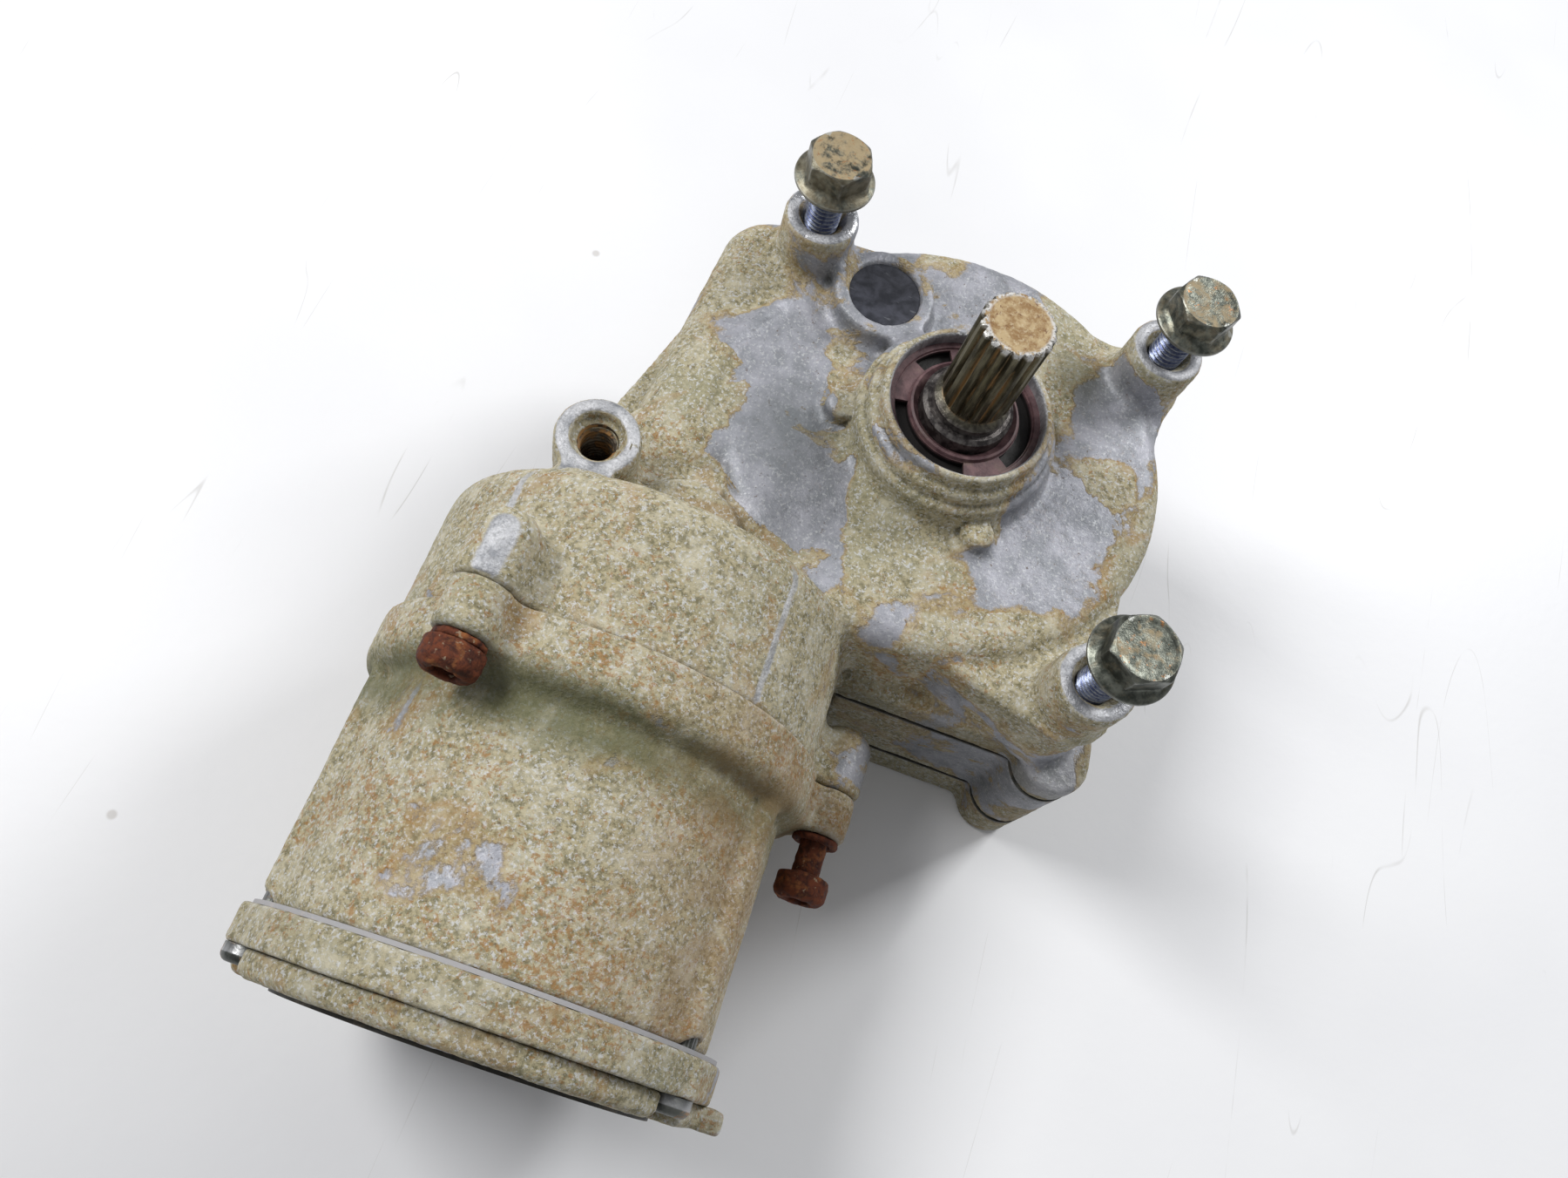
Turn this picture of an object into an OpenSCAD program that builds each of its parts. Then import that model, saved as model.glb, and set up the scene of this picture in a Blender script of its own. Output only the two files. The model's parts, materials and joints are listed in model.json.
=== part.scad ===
// Right-angle worm gear drive with an integral motor drum.
// The origin is on the output shaft's axis, in the plane of the mounting boss faces.
// +Z runs out along the splined shaft, +Y from the motor drum towards the worm tunnel's end.

/* [Mounting bosses] */
// Side of the square on which three mounting bosses stand
boss_square = 84; // [80:1:90]
// Outside radius of a mounting boss
boss_r = 8.6; // [8:0.1:9]
// Wall radius of the threaded hole in a boss
boss_hole_r = 4; // [3.4:0.1:4.2]
// Depth of the threaded hole in a boss
boss_hole_depth = 26; // [20:1:28]
// Length by which the three loose mounting bolts stand out of their bosses
bolt_standout = 10.4; // [6:0.2:14]

/* [Gear case] */
// Outside radius of the round gear case
case_r = 52; // [51:0.5:54]
// Height of the case's top plate below the boss faces
plate_drop = 12.5; // [11:0.5:14]
// Radius of the cavity that the worm wheel turns in
cavity_r = 45.2; // [44.8:0.1:45.6]
// Depth of the joint between the main housing and the lower housing
split_drop = 43.5; // [43:0.5:46]
// Depth of the joint between the lower housing and the base cover
base_joint_drop = 70; // [68:1:73]
// Depth of the base that the unit stands on
base_drop = 83; // [82.5:0.5:86]

/* [Gears] */
// Module of the worm and wheel
gear_module = 2; // [2:0.5:2]
// Teeth on the worm wheel
wheel_teeth = 42; // [42:1:42]
// Starts on the worm
worm_starts = 2; // [2:1:2]
// Pitch diameter of the worm
worm_pitch_d = 16; // [16:1:16]
// Face width of the worm wheel
wheel_face = 14; // [10:1:14]
// Thickness taken off each tooth for backlash
backlash = 0.3; // [0.2:0.05:0.4]

/* [Output shaft] */
// Radius over the spline teeth
spline_tip_r = 7.6; // [7.2:0.1:8]
// Radius at the bottom of the spline grooves
spline_root_r = 6.7; // [6.2:0.1:6.9]
// Number of spline teeth
spline_teeth = 18; // [16:1:20]
// Height of the shaft's end above the boss faces
shaft_top = 31; // [28:1:34]
// Radius of the shaft where the bearings and the wheel sit
shaft_r = 10; // [10:1:10]

/* [Motor drum] */
// Depth of the motor and worm axis below the boss faces
motor_drop = 36; // [36:1:36]
// Outside radius of the dome that is cast onto the main housing
dome_r = 45.5; // [45:0.5:46]
// Outside radius of the motor drum
drum_r = 43; // [42.5:0.5:43.5]
// Wall thickness of the drum and the dome
drum_wall = 4.5; // [4:0.5:5]
// Distance from the shaft's axis to the dome's front face
dome_front = 46.5; // [46:0.5:47]
// Distance from the shaft's axis to the joint between dome and drum
dome_joint = 78.5; // [78:0.5:79]
// Distance from the shaft's axis to the drum's end flange
flange_start = 137.5; // [137:0.5:138]
// Radius of the circle that the three drum bolts stand on
lug_circle_r = 52; // [51.5:0.5:53]
// Radius of the circle that the three end-flange screws stand on
screw_circle_r = 42.5; // [42:0.5:43]

/* [Hidden] */
$fn = 64;

// Colours
cast_colour = [0.66, 0.65, 0.62];
steel_colour = [0.70, 0.71, 0.73];
dark_steel_colour = [0.33, 0.34, 0.32];
rust_colour = [0.38, 0.22, 0.16];
rubber_colour = [0.30, 0.22, 0.23];
plug_colour = [0.16, 0.17, 0.21];
nylon_colour = [0.85, 0.82, 0.72];
copper_colour = [0.72, 0.42, 0.22];
gasket_colour = [0.25, 0.26, 0.24];

// Small distance by which a cut passes the face it opens
cut = 1;
// Radial clearance of a screw in its hole
screw_gap = 0.1;

// Worm drive
wheel_pitch_r = gear_module * wheel_teeth / 2;
worm_lead = PI * gear_module * worm_starts;
worm_tip_r = worm_pitch_d / 2 + gear_module;
worm_root_r = worm_pitch_d / 2 - 1.2 * gear_module;
worm_length = 36;
wheel_tip_r = wheel_pitch_r + gear_module;
wheel_root_r = wheel_pitch_r - 1.25 * gear_module;
centre_distance = wheel_pitch_r + worm_pitch_d / 2;
lead_angle = atan(worm_starts * gear_module / worm_pitch_d);
pressure_angle = 20;
motor_x = -centre_distance;
wheel_z = -motor_drop;
wheel_hub_half = 11.5;
circlip_z = wheel_z + wheel_hub_half;
circlip_thick = 1.2;
circlip_root_r = 9.3;

// Bosses: three corners of a square, and the fourth boss beside the tunnel
square_centre = [-1.2, -7];
boss_places = [
    [square_centre[0] - boss_square / 2, square_centre[1] + boss_square / 2],
    [square_centre[0] + boss_square / 2, square_centre[1] + boss_square / 2],
    [square_centre[0] + boss_square / 2, square_centre[1] - boss_square / 2]
];
fourth_boss = [-68.4, -37.3];
mouth_r = 5.4;
mouth_depth = 2.6;
// How much further out than bolt_standout each loose bolt sits
standout_extra = [0.2, 0, 2.4];
mount_bolt_length = 30;

// Case
plate_z = -plate_drop;
plate_thick = 5;
split_z = -split_drop;
gasket_thick = 0.6;
// How far the gaskets' inner edge stands back from the wheel cavity
gasket_step = 0.2;
base_joint_z = -base_joint_drop;
base_z = -base_drop;
corner_lug = [48, -54];
corner_lug_r = 8;
corner_lug_drop = 35;
front_wall_y = -55;
front_wall_start = -2.5;
case_bolt_circle = 47.8;
case_bolt_places = [
    for (a = [-14, 30, 72, 112, 274]) case_bolt_circle * [cos(a), sin(a)],
    corner_lug
];
case_bolt_r = 1.75;
case_bolt_head_r = 3.1;
case_bolt_head_h = 3.5;
case_bolt_top = -34;
case_clip_x = -35;

// Hub
hub_top = 2.4;
hub_rim_r = 18.8;
seal_bore_r = 17;
seal_seat_z = -7;
seal_spring_r = 12.6;
// Start angle and span of each recess in the seal's face, and their depth
seal_recesses = [[192, 92], [322, 86], [72, 36], [116, 34]];
seal_recess_depth = 1.9;
hub_base_r = 22.6;

// Worm tunnel
tunnel_r = 15;
tunnel_end = 44;
tunnel_bore_r = 11;

// Raised bead on the plate
bead_centre = [-8, -9];
bead_bend_r = 46.6;
bead_width = 2;

// Inspection plug
plug_place = [-23.9, 26.6];
plug_r = 8.3;
plug_collar_r = 11.8;
plug_top = -7;

// Bearings: [bore radius, outside radius, width]
output_bearing = [10, 18.5, 9];
worm_end_bearing = [5, 11, 6];
worm_drive_bearing = [6, 14, 8];
motor_bearing = [5, 13, 8];
upper_bearing_z = -17;
lower_bearing_z = -58;
worm_end_bearing_y = 27;
worm_drive_bearing_y = -47;
retainer_thick = 5.5;
front_bearing_y = -84;
rear_bearing_y = -140;

// Coupling
spider_arm = 3.6;

// Motor
lug_angles = [117, -3, 225];
// How far each drum bolt is backed out of its lug
drum_bolt_gaps = [0, 7, 0];
drum_washer = 1.5;
band_h = 12.5;
lug_h = 10;
drum_seat_y = -dome_joint - lug_h;
screw_angles = [160, 30, 248];
flange_screw_r = 1.95;
flange_r = 46.5;
flange_thick = 7;
end_cover_thick = 4.7;
cap_thick = 0.8;
seal_plate_thick = 0.8;
dome_inner_r = dome_r - drum_wall;
drum_inner_r = drum_r - drum_wall;
bracket_recess = 4.2;
lug_r = 6.3;
lug_bolt_r = 3;

// ---- Helpers -------------------------------------------------------------

// Puts a shape drawn along +Z onto the motor axis, running along +Y from distance y
module on_motor_axis(y) {
    translate([motor_x, y, -motor_drop]) rotate([-90, 0, 0]) children();
}

// Places children at an angle (from +X towards +Z) and radius round the motor axis
module round_motor_axis(y, angle, radius) {
    translate([motor_x + radius * cos(angle), y, -motor_drop + radius * sin(angle)])
        rotate([-90, 0, 0]) children();
}

// Flat ring between two radii
module ring(inner_r, outer_r, height) {
    difference() {
        cylinder(r = outer_r, h = height);
        translate([0, 0, -cut]) cylinder(r = inner_r, h = height + 2 * cut);
    }
}

// Cylinder with a concave flare at its base
module flared_post(post_r, height, flare) {
    cylinder(r = post_r, h = height);
    rotate_extrude() difference() {
        square([post_r + flare, flare]);
        translate([post_r + flare, flare]) circle(r = flare);
    }
}

// Cylinder with a rounded top edge
module rounded_puck(puck_r, height, edge) {
    rotate_extrude() union() {
        square([puck_r, height - edge]);
        square([puck_r - edge, height]);
        translate([puck_r - edge, height - edge]) intersection() {
            circle(r = edge);
            square(edge);
        }
    }
}

// Outline of the straight web between two circles, touching both
function web_points(p1, r1, p2, r2) =
    let (
        run = norm(p2 - p1),
        heading = atan2(p2[1] - p1[1], p2[0] - p1[0]),
        side = acos((r1 - r2) / run)
    )
    [
        p1 + r1 * [cos(heading + side), sin(heading + side)],
        p1 + r1 * [cos(heading - side), sin(heading - side)],
        p2 + r2 * [cos(heading - side), sin(heading - side)],
        p2 + r2 * [cos(heading + side), sin(heading + side)]
    ];

// Outline of the gear case in plan, with its straight front wall and corner lug
module case_outline(outer_r) {
    difference() {
        union() {
            circle(r = outer_r);
            translate(corner_lug) circle(r = corner_lug_r);
            translate([front_wall_start, front_wall_y])
                square([corner_lug[0] - front_wall_start, -front_wall_y]);
            intersection() {
                polygon(web_points([0, 0], outer_r, corner_lug, corner_lug_r));
                translate([0, front_wall_y]) square([200, 200]);
            }
        }
        translate([case_clip_x - 100, -100]) square([100, 200]);
    }
}

// Room that the motor dome takes out of the parts beside it
module dome_clearance() {
    on_motor_axis(-dome_joint - 16) cylinder(r = dome_r + 0.8, h = dome_joint + 16 - dome_front + 0.8);
}

// ---- Bearings ------------------------------------------------------------

function ball_circle(size) = (size[0] + size[1]) / 2;
function ball_r(size) = 0.28 * (size[1] - size[0]);
function ball_count(size) = floor(2 * PI * ball_circle(size) / (2.7 * ball_r(size)));

module bearing_groove(size) {
    translate([0, 0, size[2] / 2]) rotate_extrude()
        translate([ball_circle(size), 0]) circle(r = ball_r(size) + 0.04);
}

module bearing_outer(size) {
    difference() {
        ring(ball_circle(size) + 0.5 * ball_r(size), size[1], size[2]);
        bearing_groove(size);
    }
}

module bearing_inner(size) {
    difference() {
        ring(size[0], ball_circle(size) - 0.5 * ball_r(size), size[2]);
        bearing_groove(size);
    }
}

module bearing_balls(size) {
    for (i = [0 : ball_count(size) - 1])
        rotate([0, 0, i * 360 / ball_count(size)])
            translate([ball_circle(size), 0, size[2] / 2]) sphere(r = ball_r(size));
}

module bearing_cage(size) {
    pocket_gap = 0.06;
    half_height = ball_r(size) * 1.3;
    half_wall = ball_r(size) * 0.35;
    difference() {
        translate([0, 0, size[2] / 2 - half_height])
            ring(ball_circle(size) - half_wall, ball_circle(size) + half_wall, 2 * half_height);
        for (i = [0 : ball_count(size) - 1])
            rotate([0, 0, i * 360 / ball_count(size)])
                translate([ball_circle(size) - 2 * half_wall, 0, size[2] / 2])
                    rotate([0, 90, 0]) cylinder(r = ball_r(size) + pocket_gap, h = 4 * half_wall);
    }
}

// ---- Castings ------------------------------------------------------------

// Gear case bell, shoulder over the worm tunnel, and the hub round the shaft
module case_shell() {
    shell_h = split_drop - plate_drop;
    translate([0, 0, split_z]) {
        rounded_puck(case_r, shell_h, 5);
        linear_extrude(height = -corner_lug_drop - split_z) case_outline(case_r);
    }
    // Shoulder that rolls off towards the tunnel's far side
    translate([0, 0, split_z + 8]) hull() {
        translate([-50.5, 30.5, 0]) rounded_puck(12.5, shell_h - 8.4, 8, $fn = 32);
        translate([-55.5, -22, 0]) rounded_puck(11, shell_h - 8.4, 8, $fn = 32);
        translate([-30, 5, 0]) rounded_puck(18, shell_h - 8.4, 3, $fn = 32);
    }
    // Raised bead along the shoulder's edge
    translate([0, 0, plate_z - 3]) linear_extrude(height = 4) difference() {
        translate(bead_centre) circle(r = bead_bend_r);
        translate(bead_centre) circle(r = bead_bend_r - bead_width);
        translate([-45, -100]) square([200, 200]);
        translate([-100, -122]) square([200, 100]);
    }
    on_motor_axis(-dome_front - 2) rounded_puck(tunnel_r, tunnel_end + dome_front + 2, 6);
    // Raised rim of the round pad beside the dome
    translate([-47, -45, plate_z - 8]) cylinder(r = 12.2, h = 9);
}

module hub_outside() {
    translate([0, 0, plate_z - 1]) {
        flared_post(hub_base_r, 8.5, 4);
        cylinder(r = 20.8, h = 12);
        cylinder(r = hub_rim_r, h = hub_top - plate_z + 1);
    }
    for (a = [189, 298])
        translate([25 * cos(a), 25 * sin(a), plate_z - 1]) rounded_puck(3.6, 5.2, 1.2);
}

module boss_posts() {
    post_h = -split_z - 8;
    for (place = boss_places) {
        translate([place[0], place[1], -post_h]) cylinder(r = boss_r, h = post_h);
        translate([place[0], place[1], plate_z - 2]) flared_post(boss_r, 5, 1.6);
        translate([0, 0, plate_z - 20]) linear_extrude(height = 17)
            polygon(web_points([0, 0], 46, place, boss_r));
    }
    translate([fourth_boss[0], fourth_boss[1], -post_h]) cylinder(r = boss_r + 0.2, h = post_h);
    translate([0, 0, plate_z - 18]) linear_extrude(height = 15)
        polygon(web_points([-50, -20], 13, fourth_boss, boss_r));
    // Low web from the fourth boss to the worm tunnel
    translate([0, 0, split_z]) linear_extrude(height = 21)
        polygon(web_points([-52, 8], 12.5, fourth_boss, boss_r));
}

// Web that joins a lug to the round wall inside it
module lug_web(angle, half_width, height) {
    linear_extrude(height = height) rotate(-angle) translate([40.5, -half_width])
        square([lug_circle_r - 40.5, 2 * half_width]);
}

module dome_outside() {
    length = dome_joint - dome_front;
    on_motor_axis(-dome_joint) rounded_puck(dome_r, length, 6);
    for (a = lug_angles) {
        round_motor_axis(-dome_joint, a, lug_circle_r) rounded_puck(lug_r, 15, 5);
        on_motor_axis(-dome_joint) lug_web(a, lug_r - 0.3, 12);
    }
}

module boss_drilling(place, outer) {
    translate([place[0], place[1], -boss_hole_depth]) cylinder(r = boss_hole_r, h = boss_hole_depth + cut);
    translate([place[0], place[1], -mouth_depth]) cylinder(r = mouth_r, h = mouth_depth + cut);
}

module main_housing() {
    cavity_top = plate_z - plate_thick;
    color(cast_colour) difference() {
        union() {
            case_shell();
            hub_outside();
            boss_posts();
            dome_outside();
            translate([plug_place[0], plug_place[1], plate_z - 2]) {
                flared_post(plug_collar_r, plug_top - plate_z + 2, 2);
            }
        }
        // Wheel cavity with a bearing boss left standing in its roof
        difference() {
            translate([0, 0, split_z - cut]) cylinder(r = cavity_r, h = cavity_top - split_z + cut);
            translate([0, 0, -21]) cylinder(r = hub_base_r, h = 10);
            translate([plug_place[0], plug_place[1], -21]) cylinder(r = plug_r + 3, h = 10);
        }
        // Shaft bore: bearing seat, shoulder and seal seat
        translate([0, 0, -21 - cut])
            cylinder(r = output_bearing[1], h = 21 + cut + upper_bearing_z + output_bearing[2]);
        translate([0, 0, -9]) cylinder(r = 15, h = 8);
        translate([0, 0, seal_seat_z]) cylinder(r = seal_bore_r, h = hub_top - seal_seat_z + cut);
        // Worm tunnel with its bearing seats
        on_motor_axis(-40) cylinder(r = tunnel_bore_r, h = 40 + worm_end_bearing_y + worm_end_bearing[2]);
        on_motor_axis(worm_end_bearing_y) cylinder(r = 8, h = 10);
        on_motor_axis(-56)
            cylinder(r = worm_drive_bearing[1], h = 56 + worm_drive_bearing_y + worm_drive_bearing[2]);
        // Inside of the dome
        on_motor_axis(-dome_joint - cut) cylinder(r = dome_inner_r, h = dome_joint - 53 + cut);
        for (a = lug_angles)
            round_motor_axis(-dome_joint - cut, a, lug_circle_r) cylinder(r = lug_bolt_r, h = 13);
        for (place = boss_places) boss_drilling(place);
        boss_drilling(fourth_boss);
        translate([plug_place[0], plug_place[1], -24]) cylinder(r = 6.8, h = 24);
        translate([plug_place[0], plug_place[1], plug_top - 4]) cylinder(r = plug_r, h = 4 + cut);
        for (place = case_bolt_places)
            translate([place[0], place[1], split_z - cut])
                cylinder(r = case_bolt_r, h = case_bolt_top - split_z + cut);
    }
}

module lower_housing() {
    top_z = split_z - gasket_thick;
    color(cast_colour) difference() {
        translate([0, 0, base_joint_z]) linear_extrude(height = top_z - base_joint_z) case_outline(case_r);
        dome_clearance();
        on_motor_axis(-dome_front - 2) cylinder(r = tunnel_r + 0.5, h = 100);
        difference() {
            translate([0, 0, base_joint_z + 9]) cylinder(r = 43.5, h = top_z - base_joint_z);
            translate([0, 0, base_joint_z]) cylinder(r = 23, h = 21.5);
            translate([case_clip_x - 100 + 5, -100, base_joint_z]) cube([100, 200, 40]);
        }
        translate([0, 0, lower_bearing_z]) cylinder(r = output_bearing[1], h = 20);
        translate([0, 0, lower_bearing_z - 4]) cylinder(r = 15, h = 8);
        case_bolt_holes(top_z);
    }
}

module case_bolt_holes(top_z) {
    for (place = case_bolt_places)
        translate([place[0], place[1], base_z - cut])
            cylinder(r = case_bolt_r + screw_gap, h = top_z - base_z + 2 * cut);
}

module base_cover() {
    top_z = base_joint_z - gasket_thick;
    color(cast_colour) difference() {
        translate([0, 0, base_z]) linear_extrude(height = top_z - base_z) case_outline(case_r);
        dome_clearance();
        translate([0, 0, base_z + 5]) intersection() {
            cylinder(r = 43.5, h = 20);
            translate([case_clip_x + 5, -100, 0]) cube([200, 200, 20]);
        }
        case_bolt_holes(top_z);
        for (place = case_bolt_places)
            translate([place[0], place[1], base_z - cut])
                cylinder(r = case_bolt_head_r + 0.2, h = case_bolt_head_h + 1 + cut);
    }
}

module flat_gasket(top_z) {
    color(gasket_colour) translate([0, 0, top_z - gasket_thick]) difference() {
        linear_extrude(height = gasket_thick) difference() {
            case_outline(case_r);
            intersection() {
                circle(r = cavity_r + gasket_step);
                translate([case_clip_x + 5, -100]) square([200, 200]);
            }
            for (place = case_bolt_places) translate(place) circle(r = case_bolt_r + screw_gap);
        }
        translate([0, 0, gasket_thick - top_z]) dome_clearance();
        translate([0, 0, gasket_thick - top_z])
            on_motor_axis(-dome_front - 2) cylinder(r = tunnel_r + 0.5, h = 100);
    }
}

module case_gasket() {
    flat_gasket(split_z);
}

module base_gasket() {
    flat_gasket(base_joint_z);
}

module case_bolts() {
    head_z = base_z + 1;
    color(dark_steel_colour) for (place = case_bolt_places)
        translate([place[0], place[1], head_z]) {
            cylinder(r = case_bolt_r, h = case_bolt_top - head_z - 2);
            difference() {
                cylinder(r = case_bolt_head_r, h = case_bolt_head_h);
                translate([0, 0, -cut]) cylinder(r = 1.6, h = 2 + cut, $fn = 6);
            }
        }
}

// ---- Mounting bolts, plug and seal ----------------------------------------

module flange_bolt(shank_r, shank_length, flange_r, across_flats, head_h) {
    hex_r = across_flats / 2 / cos(30);
    rotate_extrude() polygon([
        [0, 0], [flange_r, 0], [flange_r, 1.1], [hex_r * 0.95, 2.6], [0, 2.6]
    ]);
    intersection() {
        cylinder(r = hex_r, h = head_h, $fn = 6);
        rotate_extrude() polygon([
            [0, 0], [hex_r, 0], [hex_r, head_h - 1], [hex_r - 1.2, head_h], [0, head_h]
        ]);
    }
    translate([0, 0, -shank_length]) cylinder(r = shank_r, h = shank_length);
}

module mount_bolts() {
    color(dark_steel_colour) for (i = [0 : 2])
        translate([boss_places[i][0], boss_places[i][1], bolt_standout + standout_extra[i]])
            rotate([0, 0, 12 + 25 * i])
                flange_bolt(boss_hole_r - 0.05, mount_bolt_length, 8.9, 13, 7.6);
}

module inspection_plug() {
    color(plug_colour) translate([plug_place[0], plug_place[1], 0]) {
        translate([0, 0, plug_top - 4]) cylinder(r = plug_r, h = 3.2);
        translate([0, 0, -20]) ring(5.2, 6.8, 20 + plug_top - 4);
    }
}

module shaft_seal() {
    lip_r = shaft_r + 0.05;
    face_z = seal_seat_z + 6;
    pad_z = face_z - 0.5;
    color(rubber_colour) difference() {
        rotate_extrude() polygon([
            [seal_bore_r, seal_seat_z], [seal_bore_r, face_z], [15.7, face_z],
            [15.5, pad_z], [12.3, pad_z], [12, face_z + 0.3], [11.5, face_z + 0.5],
            [lip_r + 0.6, face_z - 0.4], [lip_r, face_z - 1], [lip_r, face_z - 1.6],
            [11.2, face_z - 2.6], [lip_r, face_z - 3.9], [lip_r + 0.9, seal_seat_z + 1],
            [12.2, seal_seat_z + 2], [13.9, seal_seat_z + 2], [14.6, seal_seat_z + 1],
            [14.6, seal_seat_z]
        ]);
        // Groove that the garter spring lies in
        translate([0, 0, seal_seat_z + 2.05]) rotate_extrude()
            translate([seal_spring_r, 0]) circle(r = 0.5, $fn = 24);
        // Kidney-shaped recesses between the pads of the outer face
        for (span = seal_recesses) rotate([0, 0, span[0]]) intersection() {
            translate([0, 0, pad_z - seal_recess_depth]) ring(12.4, 15.3, seal_recess_depth + cut);
            translate([0, 0, pad_z - seal_recess_depth - cut])
                linear_extrude(height = seal_recess_depth + 3 * cut)
                    polygon([[0, 0], for (a = [0 : 6]) 20 * [cos(a * span[1] / 6), sin(a * span[1] / 6)]]);
        }
    }
}

module seal_spring() {
    color(steel_colour) translate([0, 0, seal_seat_z + 2.05]) rotate_extrude()
        translate([seal_spring_r, 0]) circle(r = 0.45, $fn = 24);
}

// ---- Output shaft, wheel and their bearings --------------------------------

module output_shaft() {
    neck_z = 2.2;
    shoulder_z = lower_bearing_z + output_bearing[2];
    tooth_half = 360 / spline_teeth / 4;
    color(steel_colour) union() {
        rotate_extrude() polygon([
            [0, lower_bearing_z - 3], [shaft_r - 1, lower_bearing_z - 3], [shaft_r, lower_bearing_z - 2],
            [shaft_r, shoulder_z], [12.5, shoulder_z], [12.5, wheel_z - wheel_hub_half],
            [shaft_r, wheel_z - wheel_hub_half], [shaft_r, circlip_z], [circlip_root_r, circlip_z],
            [circlip_root_r, circlip_z + circlip_thick], [shaft_r, circlip_z + circlip_thick],
            [shaft_r, 1.4], [shaft_r - 0.8, neck_z], [8.3, neck_z],
            [8.3, neck_z + 1.8], [spline_root_r, neck_z + 3.2], [spline_root_r, shaft_top],
            [0, shaft_top]
        ]);
        intersection() {
            translate([0, 0, neck_z + 2]) linear_extrude(height = shaft_top - neck_z - 2)
                for (i = [0 : spline_teeth - 1]) rotate(i * 360 / spline_teeth)
                    polygon([
                        [spline_root_r - 0.6, -1.35],
                        [spline_tip_r * cos(tooth_half * 0.8), -spline_tip_r * sin(tooth_half * 0.8)],
                        [spline_tip_r + 0.05, 0],
                        [spline_tip_r * cos(tooth_half * 0.8), spline_tip_r * sin(tooth_half * 0.8)],
                        [spline_root_r - 0.6, 1.35]
                    ]);
            rotate_extrude() polygon([
                [0, 0], [spline_root_r, neck_z + 2.6], [spline_tip_r, neck_z + 5],
                [spline_tip_r, shaft_top - 0.7], [spline_tip_r - 0.7, shaft_top], [0, shaft_top]
            ]);
        }
    }
}

module wheel_hub() {
    color(steel_colour) translate([0, 0, wheel_z]) difference() {
        union() {
            translate([0, 0, -wheel_hub_half]) cylinder(r = 15, h = 2 * wheel_hub_half);
            translate([0, 0, -3]) cylinder(r = 34, h = 6);
            translate([0, 0, -wheel_face / 2]) ring(31, 34, wheel_face);
        }
        translate([0, 0, -wheel_hub_half - cut]) cylinder(r = shaft_r, h = 2 * (wheel_hub_half + cut));
        for (a = [0 : 60 : 300]) rotate([0, 0, a]) translate([23, 0, -5]) cylinder(r = 4.5, h = 10);
    }
}

// Involute helpers for the wheel's teeth
function involute_angle(base_r, r) =
    let (t = sqrt(max(0, (r / base_r) * (r / base_r) - 1))) t * 180 / PI - atan(t);

function tooth_flank(base_r, half_pitch_angle, steps) = [
    for (i = [0 : steps])
        let (
            r = max(base_r, wheel_root_r) + (wheel_tip_r - max(base_r, wheel_root_r)) * i / steps,
            a = half_pitch_angle + involute_angle(base_r, wheel_pitch_r) - involute_angle(base_r, r)
        )
        [r, a]
];

function wheel_outline(steps) =
    let (
        base_r = wheel_pitch_r * cos(pressure_angle),
        half_angle = (PI * gear_module / 2 - backlash) / wheel_pitch_r / 2 * 180 / PI,
        flank = tooth_flank(base_r, half_angle, steps)
    )
    [
        for (tooth = [0 : wheel_teeth - 1])
            let (middle = 180 + tooth * 360 / wheel_teeth)
            each concat(
                [for (p = flank) p[0] * [cos(middle - p[1]), sin(middle - p[1])]],
                [
                    for (i = [steps : -1 : 0])
                        flank[i][0] * [cos(middle + flank[i][1]), sin(middle + flank[i][1])]
                ]
            )
    ];

module worm_wheel() {
    turn = 360 * wheel_face * tan(lead_angle) / (2 * PI * wheel_pitch_r);
    color(nylon_colour) translate([0, 0, wheel_z]) difference() {
        rotate([0, 0, -turn / 2])
            linear_extrude(height = wheel_face, center = true, twist = -turn, slices = 6)
                polygon(wheel_outline(3));
        translate([0, 0, -wheel_face]) cylinder(r = 34, h = 2 * wheel_face);
    }
}

module shaft_circlip() {
    color(dark_steel_colour) translate([0, 0, circlip_z]) ring(circlip_root_r, 12.4, circlip_thick);
}

module upper_bearing_outer() {
    color(steel_colour) translate([0, 0, upper_bearing_z]) bearing_outer(output_bearing);
}

module upper_bearing_inner() {
    color(steel_colour) translate([0, 0, upper_bearing_z]) bearing_inner(output_bearing);
}

module upper_bearing_balls() {
    color(steel_colour) translate([0, 0, upper_bearing_z]) bearing_balls(output_bearing);
}

module upper_bearing_cage() {
    color(copper_colour) translate([0, 0, upper_bearing_z]) bearing_cage(output_bearing);
}

module lower_bearing_outer() {
    color(steel_colour) translate([0, 0, lower_bearing_z]) bearing_outer(output_bearing);
}

module lower_bearing_inner() {
    color(steel_colour) translate([0, 0, lower_bearing_z]) bearing_inner(output_bearing);
}

module lower_bearing_balls() {
    color(steel_colour) translate([0, 0, lower_bearing_z]) bearing_balls(output_bearing);
}

module lower_bearing_cage() {
    color(copper_colour) translate([0, 0, lower_bearing_z]) bearing_cage(output_bearing);
}

// ---- Worm and its bearings --------------------------------------------------

// Radius of the worm at an angle from the middle of a thread
function worm_radius(angle) =
    let (
        axial = abs(angle) / 360 * worm_lead,
        tip_half = PI * gear_module / 4 - gear_module * tan(pressure_angle) - backlash / 4,
        root_half = tip_half + (worm_tip_r - worm_root_r) * tan(pressure_angle)
    )
    axial <= tip_half ? worm_tip_r
    : axial >= root_half ? worm_root_r
    : worm_tip_r - (axial - tip_half) / tan(pressure_angle);

function worm_outline(points) = [
    for (i = [0 : points - 1])
        let (
            angle = i * 360 / points,
            from_thread = (angle + 90) % 180 - 90
        )
        worm_radius(from_thread) * [cos(angle), sin(angle)]
];

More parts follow.
